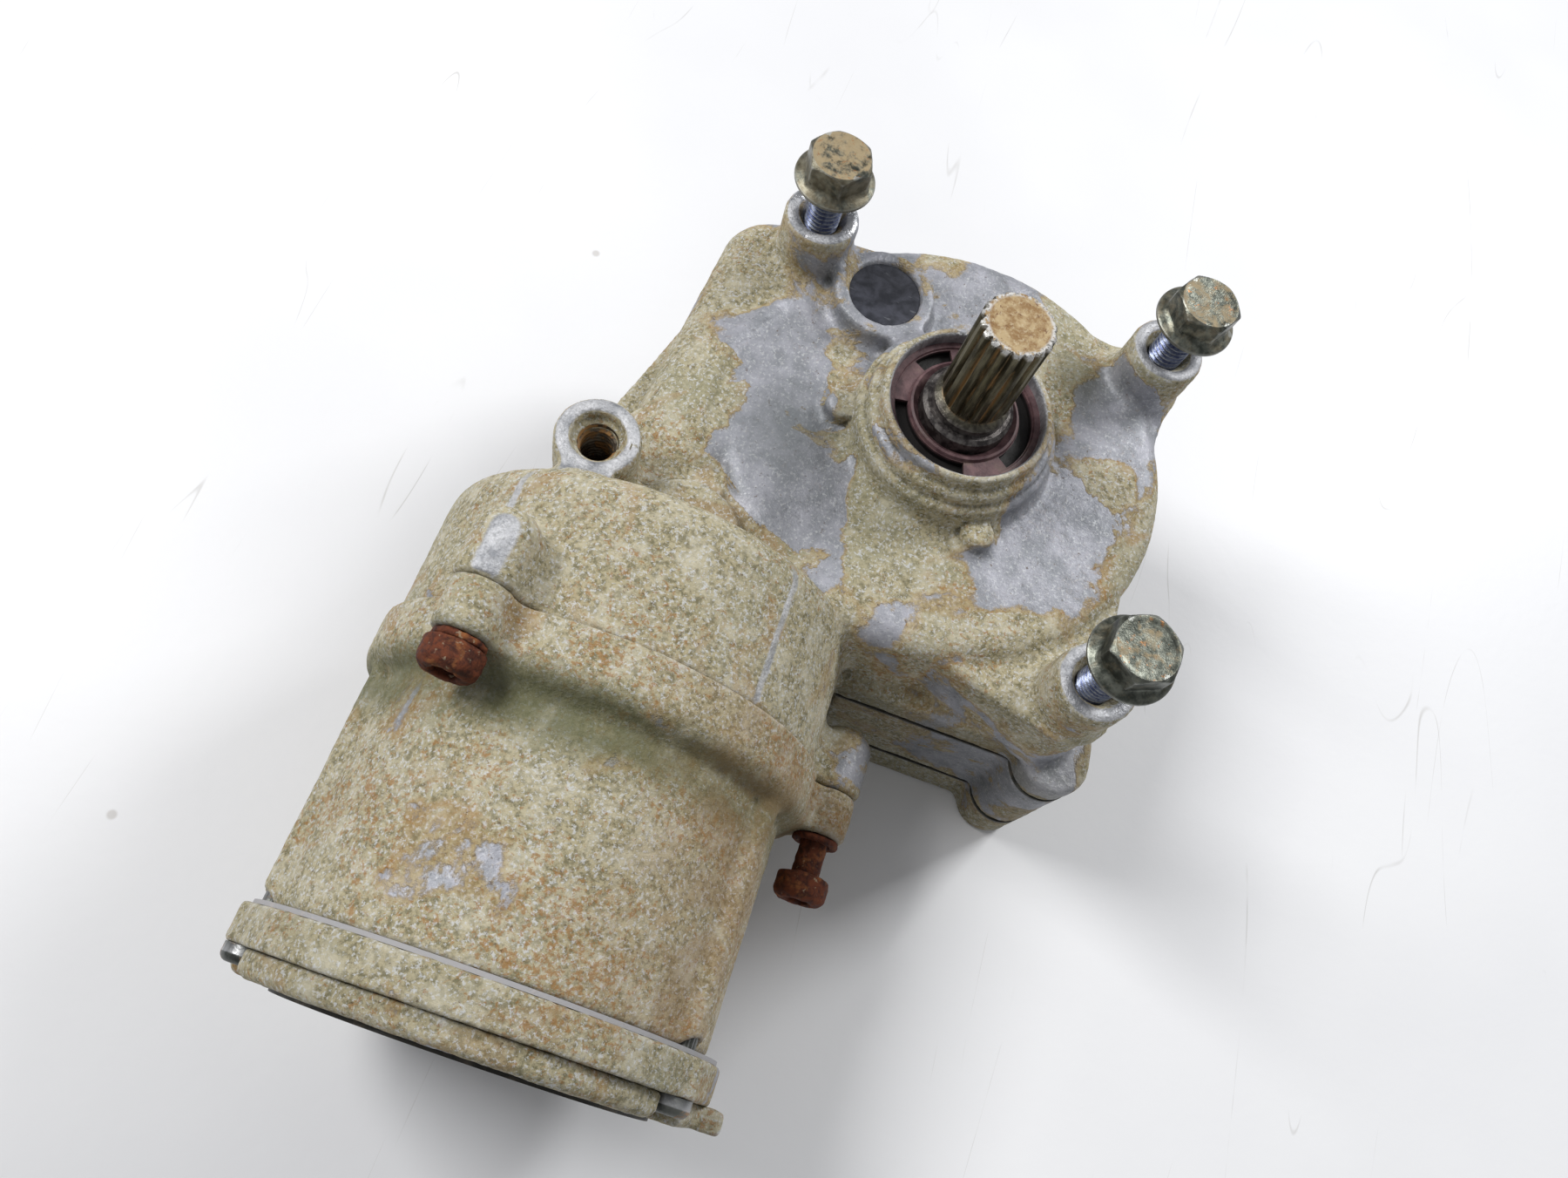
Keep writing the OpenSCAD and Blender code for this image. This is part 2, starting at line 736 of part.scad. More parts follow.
module worm_shaft() {
    turn = 360 * worm_length / worm_lead;
    color(steel_colour) union() {
        on_motor_axis(0) rotate([0, 0, 90 - turn / 2])
            linear_extrude(height = worm_length, center = true, twist = -turn, slices = 60)
                polygon(worm_outline(48));
        on_motor_axis(worm_length / 2 - 1) cylinder(r = 7, h = worm_end_bearing_y - worm_length / 2 + 1);
        on_motor_axis(worm_end_bearing_y) cylinder(r = worm_end_bearing[0], h = 7);
        on_motor_axis(worm_drive_bearing_y + 8)
            cylinder(r = 8, h = -worm_drive_bearing_y - 8 - worm_length / 2 + 1);
        on_motor_axis(-62) cylinder(r = worm_drive_bearing[0], h = 62 + worm_drive_bearing_y + 8);
    }
}

module worm_end_bearing_outer() {
    color(steel_colour) on_motor_axis(worm_end_bearing_y) bearing_outer(worm_end_bearing);
}

module worm_end_bearing_inner() {
    color(steel_colour) on_motor_axis(worm_end_bearing_y) bearing_inner(worm_end_bearing);
}

module worm_end_bearing_balls() {
    color(steel_colour) on_motor_axis(worm_end_bearing_y) bearing_balls(worm_end_bearing);
}

module worm_end_bearing_cage() {
    color(copper_colour) on_motor_axis(worm_end_bearing_y) bearing_cage(worm_end_bearing);
}

module worm_drive_bearing_outer() {
    color(steel_colour) on_motor_axis(worm_drive_bearing_y) bearing_outer(worm_drive_bearing);
}

module worm_drive_bearing_inner() {
    color(steel_colour) on_motor_axis(worm_drive_bearing_y) bearing_inner(worm_drive_bearing);
}

module worm_drive_bearing_balls() {
    color(steel_colour) on_motor_axis(worm_drive_bearing_y) bearing_balls(worm_drive_bearing);
}

module worm_drive_bearing_cage() {
    color(copper_colour) on_motor_axis(worm_drive_bearing_y) bearing_cage(worm_drive_bearing);
}

module bearing_retainer() {
    color(dark_steel_colour) on_motor_axis(worm_drive_bearing_y - retainer_thick)
        ring(11, worm_drive_bearing[1], retainer_thick);
}

// ---- Coupling ---------------------------------------------------------------

// One coupling half: a hub with two jaws
module jaw_half(bore_r) {
    jaw_offset = (spider_arm / 2 + 0.1) * sqrt(2);
    difference() {
        union() {
            cylinder(r = 10, h = 5);
            for (a = [0, 180]) rotate([0, 0, a]) intersection() {
                translate([0, 0, 4]) ring(4.5, 10, 6);
                translate([jaw_offset, 0, 4]) linear_extrude(height = 8)
                    polygon([[0, 0], [20, 20], [20, -20]]);
            }
        }
        translate([0, 0, -cut]) cylinder(r = bore_r, h = 6 + cut);
    }
}

module coupling_worm_half() {
    color(steel_colour) on_motor_axis(-57) mirror([0, 0, 1]) jaw_half(worm_drive_bearing[0]);
}

module coupling_motor_half() {
    color(steel_colour) on_motor_axis(-72.4) rotate([0, 0, 90]) jaw_half(motor_bearing[0]);
}

module coupling_spider() {
    color(rubber_colour) on_motor_axis(-67.1) difference() {
        union() {
            cylinder(r = 4.2, h = 4.8);
            for (a = [45 : 90 : 315])
                rotate([0, 0, a]) translate([0, -spider_arm / 2, 0]) cube([9.6, spider_arm, 4.8]);
        }
        translate([0, 0, -cut]) cylinder(r = 2, h = 8);
    }
}

// ---- Motor ------------------------------------------------------------------

module rotor_shaft() {
    color(steel_colour) union() {
        on_motor_axis(rear_bearing_y - 2) cylinder(r = motor_bearing[0], h = -rear_bearing_y + 2 - 67.6);
        on_motor_axis(rear_bearing_y + 8) cylinder(r = 7, h = -rear_bearing_y - 8 + front_bearing_y);
    }
}

module rotor_core() {
    color(dark_steel_colour) on_motor_axis(-125) ring(7, 18, 32);
}

module rotor_magnets() {
    color(gasket_colour) on_motor_axis(-125) for (a = [0 : 60 : 300]) rotate([0, 0, a])
        intersection() {
            ring(18, 21, 32);
            linear_extrude(height = 40)
                polygon([[0, 0], [30 * cos(27), -30 * sin(27)], [30 * cos(27), 30 * sin(27)]]);
        }
}

module stator_core() {
    teeth = 9;
    color(dark_steel_colour) on_motor_axis(-126) difference() {
        cylinder(r = drum_inner_r, h = 34);
        translate([0, 0, -cut]) cylinder(r = 22, h = 36);
        for (i = [0 : teeth - 1]) rotate([0, 0, i * 360 / teeth])
            translate([0, 0, -cut]) linear_extrude(height = 36)
                polygon([
                    [21, -1.6], [24.5, -1.6], [26, -6], [33, -8],
                    [33, 8], [26, 6], [24.5, 1.6], [21, 1.6]
                ]);
    }
}

module stator_windings() {
    teeth = 9;
    color(copper_colour) on_motor_axis(-130) for (i = [0 : teeth - 1])
        rotate([0, 0, (i + 0.5) * 360 / teeth]) difference() {
            translate([26.5, -6.6, 0]) cube([6, 13.2, 42]);
            translate([26, -4.6, 4]) cube([8, 9.2, 34]);
        }
}

module front_bracket() {
    color(cast_colour) difference() {
        union() {
            on_motor_axis(front_bearing_y) cylinder(r = 17, h = 10);
            on_motor_axis(-dome_joint - bracket_recess) cylinder(r = drum_inner_r + 2, h = bracket_recess);
        }
        on_motor_axis(front_bearing_y - cut) cylinder(r = motor_bearing[1], h = 8 + cut);
        on_motor_axis(front_bearing_y - cut) cylinder(r = 9, h = 14);
    }
}

module front_bearing_outer() {
    color(steel_colour) on_motor_axis(front_bearing_y) bearing_outer(motor_bearing);
}

module front_bearing_inner() {
    color(steel_colour) on_motor_axis(front_bearing_y) bearing_inner(motor_bearing);
}

module front_bearing_balls() {
    color(steel_colour) on_motor_axis(front_bearing_y) bearing_balls(motor_bearing);
}

module front_bearing_cage() {
    color(copper_colour) on_motor_axis(front_bearing_y) bearing_cage(motor_bearing);
}

module rear_bearing_outer() {
    color(steel_colour) on_motor_axis(rear_bearing_y) bearing_outer(motor_bearing);
}

module rear_bearing_inner() {
    color(steel_colour) on_motor_axis(rear_bearing_y) bearing_inner(motor_bearing);
}

module rear_bearing_balls() {
    color(steel_colour) on_motor_axis(rear_bearing_y) bearing_balls(motor_bearing);
}

module rear_bearing_cage() {
    color(copper_colour) on_motor_axis(rear_bearing_y) bearing_cage(motor_bearing);
}

module motor_drum() {
    length = flange_start - seal_plate_thick - dome_joint;
    slot_start = 1.6;
    color(cast_colour) difference() {
        union() {
            on_motor_axis(-dome_joint - length) cylinder(r = drum_r, h = length);
            // Joint band at the dome end, rounded off towards the drum
            on_motor_axis(-dome_joint) rotate([180, 0, 0]) rounded_puck(47.4, band_h, 4.5);
            for (a = lug_angles) {
                round_motor_axis(-dome_joint - lug_h, a, lug_circle_r) cylinder(r = lug_r - 0.4, h = lug_h);
                on_motor_axis(-dome_joint - lug_h) lug_web(a, lug_r - 0.8, lug_h);
            }
            // Ridges that carry the end-flange screws
            for (a = screw_angles)
                round_motor_axis(-dome_joint - length + slot_start, a, screw_circle_r - 2)
                    cylinder(r = 4.8, h = length - slot_start - cut);
        }
        for (a = screw_angles)
            round_motor_axis(-dome_joint - length - cut, a, screw_circle_r)
                cylinder(r = flange_screw_r + 0.05, h = 12 + cut);
        on_motor_axis(-dome_joint - length - cut) cylinder(r = drum_inner_r, h = length + 2 * cut);
        on_motor_axis(-dome_joint - bracket_recess)
            cylinder(r = drum_inner_r + 2, h = bracket_recess + cut);
        for (a = lug_angles)
            round_motor_axis(-dome_joint - lug_h - cut, a, lug_circle_r)
                cylinder(r = lug_bolt_r + 3 * screw_gap, h = lug_h + 2 * cut);
    }
}

module drum_o_ring() {
    color(gasket_colour) on_motor_axis(-dome_joint) rotate_extrude()
        translate([dome_inner_r - 1, 1]) circle(r = 0.98, $fn = 24);
}

module drum_bolts() {
    color(rust_colour) for (i = [0 : 2])
        round_motor_axis(drum_seat_y - drum_washer - drum_bolt_gaps[i], lug_angles[i], lug_circle_r) {
            cylinder(r = lug_bolt_r - 0.05, h = 21.5);
            mirror([0, 0, 1]) difference() {
                rounded_puck(5.6, 5.4, 2);
                translate([0, 0, 2.6]) cylinder(r = 2.9, h = 4, $fn = 6);
            }
        }
}

module drum_washers() {
    color(rust_colour) for (a = lug_angles)
        round_motor_axis(drum_seat_y - drum_washer, a, lug_circle_r)
            ring(lug_bolt_r + screw_gap, 5, drum_washer);
}

module seal_plate() {
    color(steel_colour) difference() {
        on_motor_axis(-flange_start) ring(35, flange_r - 1, seal_plate_thick);
        for (a = screw_angles)
            round_motor_axis(-flange_start - cut, a, screw_circle_r)
                cylinder(r = flange_screw_r + screw_gap, h = seal_plate_thick + 2 * cut);
    }
}

module end_flange() {
    color(cast_colour) difference() {
        union() {
            on_motor_axis(-flange_start - flange_thick) cylinder(r = flange_r, h = flange_thick);
            on_motor_axis(-flange_start) cylinder(r = 17, h = 5);
            for (a = screw_angles)
                round_motor_axis(-flange_start - flange_thick, a, screw_circle_r)
                    cylinder(r = 4.8, h = flange_thick);
        }
        on_motor_axis(rear_bearing_y) cylinder(r = motor_bearing[1], h = 20);
        on_motor_axis(rear_bearing_y - 3) cylinder(r = 9, h = 8);
        for (a = screw_angles)
            round_motor_axis(-flange_start - flange_thick - cut, a, screw_circle_r)
                cylinder(r = flange_screw_r + screw_gap, h = flange_thick + 2 * cut);
    }
}

module flange_screws() {
    color(dark_steel_colour) for (a = screw_angles)
        round_motor_axis(-flange_start - flange_thick, a, screw_circle_r) {
            cylinder(r = flange_screw_r, h = flange_thick + seal_plate_thick + 11);
            mirror([0, 0, 1]) rounded_puck(4.4, 3.2, 1.6);
        }
}

module end_cover() {
    y = -flange_start - flange_thick - end_cover_thick;
    color(cast_colour) difference() {
        union() {
            on_motor_axis(y + end_cover_thick) rotate([180, 0, 0]) rounded_puck(44.4, end_cover_thick, 2);
            round_motor_axis(y + 0.4, 0, 46) translate([-3.5, -7, 0]) cube([7, 10, end_cover_thick - 0.4]);
        }
        for (a = screw_angles)
            round_motor_axis(y - cut, a, screw_circle_r) cylinder(r = 5.4, h = end_cover_thick + 2 * cut);
        on_motor_axis(y - cut) cylinder(r = 36, h = end_cover_thick - 2);
    }
}

module cap_plate() {
    color(gasket_colour) on_motor_axis(-flange_start - flange_thick - end_cover_thick - cap_thick)
        cylinder(r = 36.5, h = cap_thick);
}

main_housing();
lower_housing();
base_cover();
case_gasket();
base_gasket();
case_bolts();
mount_bolts();
inspection_plug();
shaft_seal();
seal_spring();
output_shaft();
wheel_hub();
worm_wheel();
shaft_circlip();
upper_bearing_outer();
upper_bearing_inner();
upper_bearing_balls();
upper_bearing_cage();
lower_bearing_outer();
lower_bearing_inner();
lower_bearing_balls();
lower_bearing_cage();
worm_shaft();
worm_end_bearing_outer();
worm_end_bearing_inner();
worm_end_bearing_balls();
worm_end_bearing_cage();
worm_drive_bearing_outer();
worm_drive_bearing_inner();
worm_drive_bearing_balls();
worm_drive_bearing_cage();
bearing_retainer();
coupling_worm_half();
coupling_spider();
coupling_motor_half();
rotor_shaft();
rotor_core();
rotor_magnets();
stator_core();
stator_windings();
front_bracket();
front_bearing_outer();
front_bearing_inner();
front_bearing_balls();
front_bearing_cage();
rear_bearing_outer();
rear_bearing_inner();
rear_bearing_balls();
rear_bearing_cage();
motor_drum();
drum_o_ring();
drum_bolts();
drum_washers();
seal_plate();
end_flange();
flange_screws();
end_cover();
cap_plate();
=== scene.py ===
"""Looks of a weathered worm-gear motor unit that stands on a pale floor.

Lengths are in metres, in the frame of the CAD part: the shaft's axis is Z, the motor's axis runs
along Y, and the tops of the mounting bosses are at Z = 0.
"""

import json
import math

import bpy
import numpy as np
import openvdb
from mathutils import Matrix, Vector


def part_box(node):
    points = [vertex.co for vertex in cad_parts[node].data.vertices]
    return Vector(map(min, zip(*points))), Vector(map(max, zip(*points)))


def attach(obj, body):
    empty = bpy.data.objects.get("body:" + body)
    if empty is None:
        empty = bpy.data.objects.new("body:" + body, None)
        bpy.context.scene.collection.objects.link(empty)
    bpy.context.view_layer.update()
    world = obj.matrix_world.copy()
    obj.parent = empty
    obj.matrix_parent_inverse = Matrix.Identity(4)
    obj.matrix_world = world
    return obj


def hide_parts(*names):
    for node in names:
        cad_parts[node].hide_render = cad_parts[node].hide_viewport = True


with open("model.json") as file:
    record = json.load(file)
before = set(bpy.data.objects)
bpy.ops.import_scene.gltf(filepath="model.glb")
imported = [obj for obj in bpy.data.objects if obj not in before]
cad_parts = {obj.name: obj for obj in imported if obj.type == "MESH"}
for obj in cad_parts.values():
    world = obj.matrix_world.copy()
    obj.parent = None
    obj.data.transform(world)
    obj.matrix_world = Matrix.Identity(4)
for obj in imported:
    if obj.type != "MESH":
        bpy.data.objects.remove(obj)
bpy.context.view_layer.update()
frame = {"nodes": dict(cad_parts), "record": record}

MM = 0.001


# ---- Measures taken from the frame -------------------------------------------


def solids(node):
    """Vertex coordinates of each separate solid of a CAD node, in order of their X centre."""
    mesh = frame["nodes"][node].data
    points, faces = welded(mesh)
    label = np.arange(len(points))
    edges = np.concatenate([faces[:, [0, 1]], faces[:, [1, 2]]])
    while True:
        low = np.minimum(label[edges[:, 0]], label[edges[:, 1]])
        before = label.copy()
        np.minimum.at(label, edges[:, 0], low)
        np.minimum.at(label, edges[:, 1], low)
        label = label[label]
        if (label == before).all():
            break
    parts = [points[label == value] * MM for value in np.unique(label)]
    return sorted(parts, key=lambda part: part[:, 0].mean())


def welded(mesh):
    """Points in millimetres and triangles of a mesh, with coincident vertices made one."""
    points = np.empty(len(mesh.vertices) * 3, np.float32)
    mesh.vertices.foreach_get("co", points)
    mesh.calc_loop_triangles()
    faces = np.empty(len(mesh.loop_triangles) * 3, np.int32)
    mesh.loop_triangles.foreach_get("vertices", faces)
    unique, index = np.unique(
        np.round(points.reshape(-1, 3) / MM, 3), axis=0, return_inverse=True
    )
    faces = index.ravel()[faces.reshape(-1, 3)].astype(np.int32)
    distinct = (
        (faces[:, 0] != faces[:, 1])
        & (faces[:, 1] != faces[:, 2])
        & (faces[:, 0] != faces[:, 2])
    )
    return unique.astype(np.float32), faces[distinct]


shaft_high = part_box("output_shaft")[1]
case_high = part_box("main_housing")[1]
drum_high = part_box("motor_drum")[1]
plug_low, plug_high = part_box("inspection_plug")
floor_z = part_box("base_cover")[0].z
joint_places = {joint["name"]: joint["pos_m"] for joint in frame["record"]["behaviour"]["joints"]}
mount_places = {mount["name"]: mount["pos_m"] for mount in frame["record"]["mounts"]}
motor_axis = Vector(joint_places["worm_turn"])
fourth_boss = Vector((*mount_places["fourth_boss_hole"][:2], 0))
dome_joint_y = drum_high.y
hub_top_z = case_high.z
# Height of the gear case's top plate
plate_z = -12.5 * MM
plug_centre = (plug_low + plug_high) / 2
bolt_solids = solids("mount_bolts")


# ---- Surface noise on vertices -------------------------------------------------


def lattice_noise(points, size, seed):
    """Smooth noise between -1 and 1 at points, with bumps about size wide."""
    table = np.random.default_rng(seed).uniform(-1, 1, 8192)
    cell = np.floor(points / size).astype(np.int64)
    part = points / size - cell
    part = part * part * (3 - 2 * part)
    total = np.zeros(len(points))
    for corner in range(8):
        step = np.array([corner & 1, corner >> 1 & 1, corner >> 2 & 1])
        weight = np.where(step, part, 1 - part).prod(1)
        key = (cell + step) @ np.array([73856093, 19349663, 83492791])
        total += weight * table[(key ^ (key >> 13)) % len(table)]
    return total


def roughen(mesh, waves, seed, mask=None):
    """Moves vertices along their normals by noise: waves holds (size, depth) pairs in metres."""
    count = len(mesh.vertices)
    points = np.empty(count * 3, np.float32)
    mesh.vertices.foreach_get("co", points)
    points = points.reshape(-1, 3)
    normals = np.empty(count * 3, np.float32)
    mesh.vertex_normals.foreach_get("vector", normals)
    shift = np.zeros(count)
    for number, (size, depth) in enumerate(waves):
        shift += depth * lattice_noise(points, size, seed + number)
    if mask is not None:
        shift *= mask(points)
    points = points + normals.reshape(-1, 3) * shift[:, None]
    mesh.vertices.foreach_set("co", points.astype(np.float32).ravel())
    mesh.update()


# ---- Castings: the CAD solid with its edges rounded and its corners filled --------


def level_set(points, voxel, triangles=None, quads=None):
    """Signed distance grid of a closed surface."""
    faces = {"triangles": triangles} if quads is None else {"quads": quads}
    return openvdb.FloatGrid.createLevelSetFromPolygons(
        points,
        transform=openvdb.createLinearTransform(voxelSize=voxel),
        halfWidth=7,
        **faces,
    )


def offset(grid, distance, voxel):
    """Level set of the surface moved out by distance."""
    points, quads = grid.convertToQuads(distance)
    return level_set(points, voxel, quads=quads)


def keep_steps(filled, sharp, low, high, voxel, zone):
    """The filled level set, with the sharp one kept inside a zone of points."""
    start = np.floor((low - 3) / voxel).astype(int)
    size = np.ceil((high + 3) / voxel).astype(int) - start
    blend = []
    for grid in (filled, sharp):
        values = np.empty(size, np.float32)
        grid.copyToArray(values, ijk=tuple(int(index) for index in start))
        blend.append(values)
    axes = [(start[axis] + np.arange(size[axis])) * voxel * MM for axis in range(3)]
    inside = zone(axes[0][:, None, None], axes[1][None, :, None], axes[2][None, None, :])
    merged = openvdb.FloatGrid(blend[0].max())
    merged.transform = filled.transform
    merged.copyFromArray(
        np.where(inside, blend[1], blend[0]), ijk=tuple(int(index) for index in start)
    )
    merged.gridClass = openvdb.GridClass.LEVEL_SET
    points, quads = merged.convertToQuads(0)
    return level_set(points, voxel, quads=quads)


def casting(node, name, voxel, fillet, edge, waves, seed, mask=None, sharp_zone=None):
    """A new piece with the shape of a CAD node, softened as a casting or a corroded part is.

    Its inner corners are filled to the radius fillet and its outer edges rounded to the radius
    edge, in millimetres, apart from the inner corners inside sharp_zone.
    """
    points, faces = welded(frame["nodes"][node].data)
    grid = level_set(points, voxel, triangles=faces)
    if fillet:
        filled = offset(offset(grid, fillet, voxel), -fillet, voxel)
        if sharp_zone is not None:
            filled = keep_steps(filled, grid, points.min(0), points.max(0), voxel, sharp_zone)
        grid = filled
    if edge:
        grid = offset(grid, -edge, voxel)
    points, quads = grid.convertToQuads(edge)
    mesh = bpy.data.meshes.new(name)
    mesh.from_pydata((points * MM).tolist(), [], quads[:, ::-1].tolist(), shade_flat=False)
    mesh.update()
    roughen(mesh, waves, seed, mask)
    piece = bpy.data.objects.new(name, mesh)
    bpy.context.scene.collection.objects.link(piece)
    return piece


def join_housing(piece, slot, material, *replaced):
    """Puts a finished piece on the housing with its material, in place of the replaced nodes."""
    piece.data.materials.clear()
    piece.data.materials.append(material)
    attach(piece, "housing")
    for node in replaced:
        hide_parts(node)
    return piece


# ---- Materials -----------------------------------------------------------------


def rgb(red, green, blue):
    """Linear colour of an 8-bit display colour."""
    parts = [value / 255 for value in (red, green, blue)]
    linear = [
        value / 12.92 if value < 0.04045 else ((value + 0.055) / 1.055) ** 2.4
        for value in parts
    ]
    return (*linear, 1)


CLEAN = rgb(166, 167, 176)
CLEAN_DARK = rgb(134, 137, 143)
TAN = rgb(178, 168, 136)
TAN_PALE = rgb(206, 200, 178)
OLIVE = rgb(118, 112, 82)
OCHRE = rgb(160, 130, 78)
RUST = rgb(152, 110, 58)
PALE_GREY = rgb(206, 208, 210)
BROWN = rgb(84, 64, 42)
DARK_OLIVE = rgb(50, 50, 38)
GREEN_STAIN_AND_SHADE = rgb(96, 98, 70)
BRIGHT_METAL = rgb(200, 201, 205)


# Places of the colour sockets on Blender's Mix node, which has several of each name
MIX_COLOUR_A = 6
MIX_COLOUR_B = 7
MIX_COLOUR_RESULT = 2


class Paint:
    """Builds one procedural material from object coordinates."""

    def __init__(self, name, **constants):
        self.material = bpy.data.materials.new(name)
        self.material.use_nodes = True
        self.tree = self.material.node_tree
        self.tree.nodes.clear()
        self.shader = self.tree.nodes.new("ShaderNodeBsdfPrincipled")
        output = self.tree.nodes.new("ShaderNodeOutputMaterial")
        self.tree.links.new(self.shader.outputs[0], output.inputs["Surface"])
        self.place = self.tree.nodes.new("ShaderNodeTexCoord").outputs["Object"]
        for socket, value in constants.items():
            self.shader.inputs[socket.replace("_", " ")].default_value = value

    def put(self, value, socket):
        """Links a socket's output to a socket, or sets its constant."""
        if isinstance(value, bpy.types.NodeSocket):
            self.tree.links.new(value, socket)
        else:
            socket.default_value = value

    def noise(self, size, detail=4, roughness=0.55, distortion=0, shift=0, stretch=(1, 1, 1)):
        """Noise with features about size metres across."""
        mapping = self.tree.nodes.new("ShaderNodeMapping")
        self.put(self.place, mapping.inputs["Vector"])
        mapping.inputs["Location"].default_value = (shift, shift * 0.7, -shift)
        mapping.inputs["Scale"].default_value = stretch
        node = self.tree.nodes.new("ShaderNodeTexNoise")
        self.put(mapping.outputs[0], node.inputs["Vector"])
        node.inputs["Scale"].default_value = 1 / size
        node.inputs["Detail"].default_value = detail
        node.inputs["Roughness"].default_value = roughness
        node.inputs["Distortion"].default_value = distortion
        return node.outputs["Fac"]

    def cells(self, size, shift=0):
        """Distance from the nearest of the points scattered about size metres apart."""
        mapping = self.tree.nodes.new("ShaderNodeMapping")
        self.put(self.place, mapping.inputs["Vector"])
        mapping.inputs["Location"].default_value = (shift, shift, shift)
        node = self.tree.nodes.new("ShaderNodeTexVoronoi")
        self.put(mapping.outputs[0], node.inputs["Vector"])
        node.inputs["Scale"].default_value = 1 / size
        return node.outputs["Distance"]

    def ramp(self, value, low, high, to_low=0.0, to_high=1.0):
        """Smooth step of a value from low to high."""
        node = self.tree.nodes.new("ShaderNodeMapRange")
        node.interpolation_type = "SMOOTHSTEP"
        self.put(value, node.inputs["Value"])
        self.put(low, node.inputs["From Min"])
        self.put(high, node.inputs["From Max"])
        node.inputs["To Min"].default_value = to_low
        node.inputs["To Max"].default_value = to_high
        return node.outputs["Result"]

    def math(self, kind, first, second=0.0):
        node = self.tree.nodes.new("ShaderNodeMath")
        node.operation = kind
        self.put(first, node.inputs[0])
        self.put(second, node.inputs[1])
        return node.outputs[0]

    def times(self, first, second):
        return self.math("MULTIPLY", first, second)

    def most(self, first, second):
        return self.math("MAXIMUM", first, second)

    def mix(self, amount, first, second):
        """First colour where amount is 0 and second where it is 1."""
        node = self.tree.nodes.new("ShaderNodeMix")
        node.data_type = "RGBA"
        self.put(amount, node.inputs["Factor"])
        self.put(first, node.inputs[MIX_COLOUR_A])
        self.put(second, node.inputs[MIX_COLOUR_B])
        return node.outputs[MIX_COLOUR_RESULT]

    def axis(self, name):
        """One coordinate of the place."""
        node = self.tree.nodes.new("ShaderNodeSeparateXYZ")
        self.put(self.place, node.inputs[0])
        return node.outputs[name]

    def near(self, centre, radius, soft=0.4, wobble=None, flat=False):
        """1 inside a ball (or an upright cylinder, when flat), fading to 0 outside it."""
        place = self.place
        if wobble is not None:
            node = self.tree.nodes.new("ShaderNodeVectorMath")
            node.operation = "ADD"
            self.put(place, node.inputs[0])
            self.put(self.times(self.math("SUBTRACT", wobble, 0.5), radius * 1.4), node.inputs[1])
            place = node.outputs[0]
        if flat:
            node = self.tree.nodes.new("ShaderNodeVectorMath")
            node.operation = "MULTIPLY"
            self.put(place, node.inputs[0])
            node.inputs[1].default_value = (1, 1, 0)
            place = node.outputs[0]
            centre = (centre[0], centre[1], 0)
        node = self.tree.nodes.new("ShaderNodeVectorMath")
        node.operation = "DISTANCE"
        self.put(place, node.inputs[0])
        node.inputs[1].default_value = centre
        return self.ramp(node.outputs["Value"], radius * (1 + soft), radius * (1 - soft))

    def point(self):
        """Over 0.5 on sharp edges and under 0.5 in hollows."""
        return self.tree.nodes.new("ShaderNodeNewGeometry").outputs["Pointiness"]

    def facing_up(self, low=0.85, high=0.97):
        """1 where the surface faces up."""
        geometry = self.tree.nodes.new("ShaderNodeNewGeometry")
        node = self.tree.nodes.new("ShaderNodeSeparateXYZ")
        self.put(geometry.outputs["Normal"], node.inputs[0])
        return self.ramp(node.outputs["Z"], low, high)

    def bump(self, height, depth):
        """Surface normal of a relief that is depth metres high."""
        node = self.tree.nodes.new("ShaderNodeBump")
        node.inputs["Distance"].default_value = depth
        node.inputs["Strength"].default_value = 1
        self.put(height, node.inputs["Height"])
        return node.outputs[0]

    def finish(self, colour, roughness, bump=None, metallic=None):
        self.put(colour, self.shader.inputs["Base Color"])
        self.put(roughness, self.shader.inputs["Roughness"])
        if bump is not None:
            self.put(bump, self.shader.inputs["Normal"])
        if metallic is not None:
            self.put(metallic, self.shader.inputs["Metallic"])
        return self.material


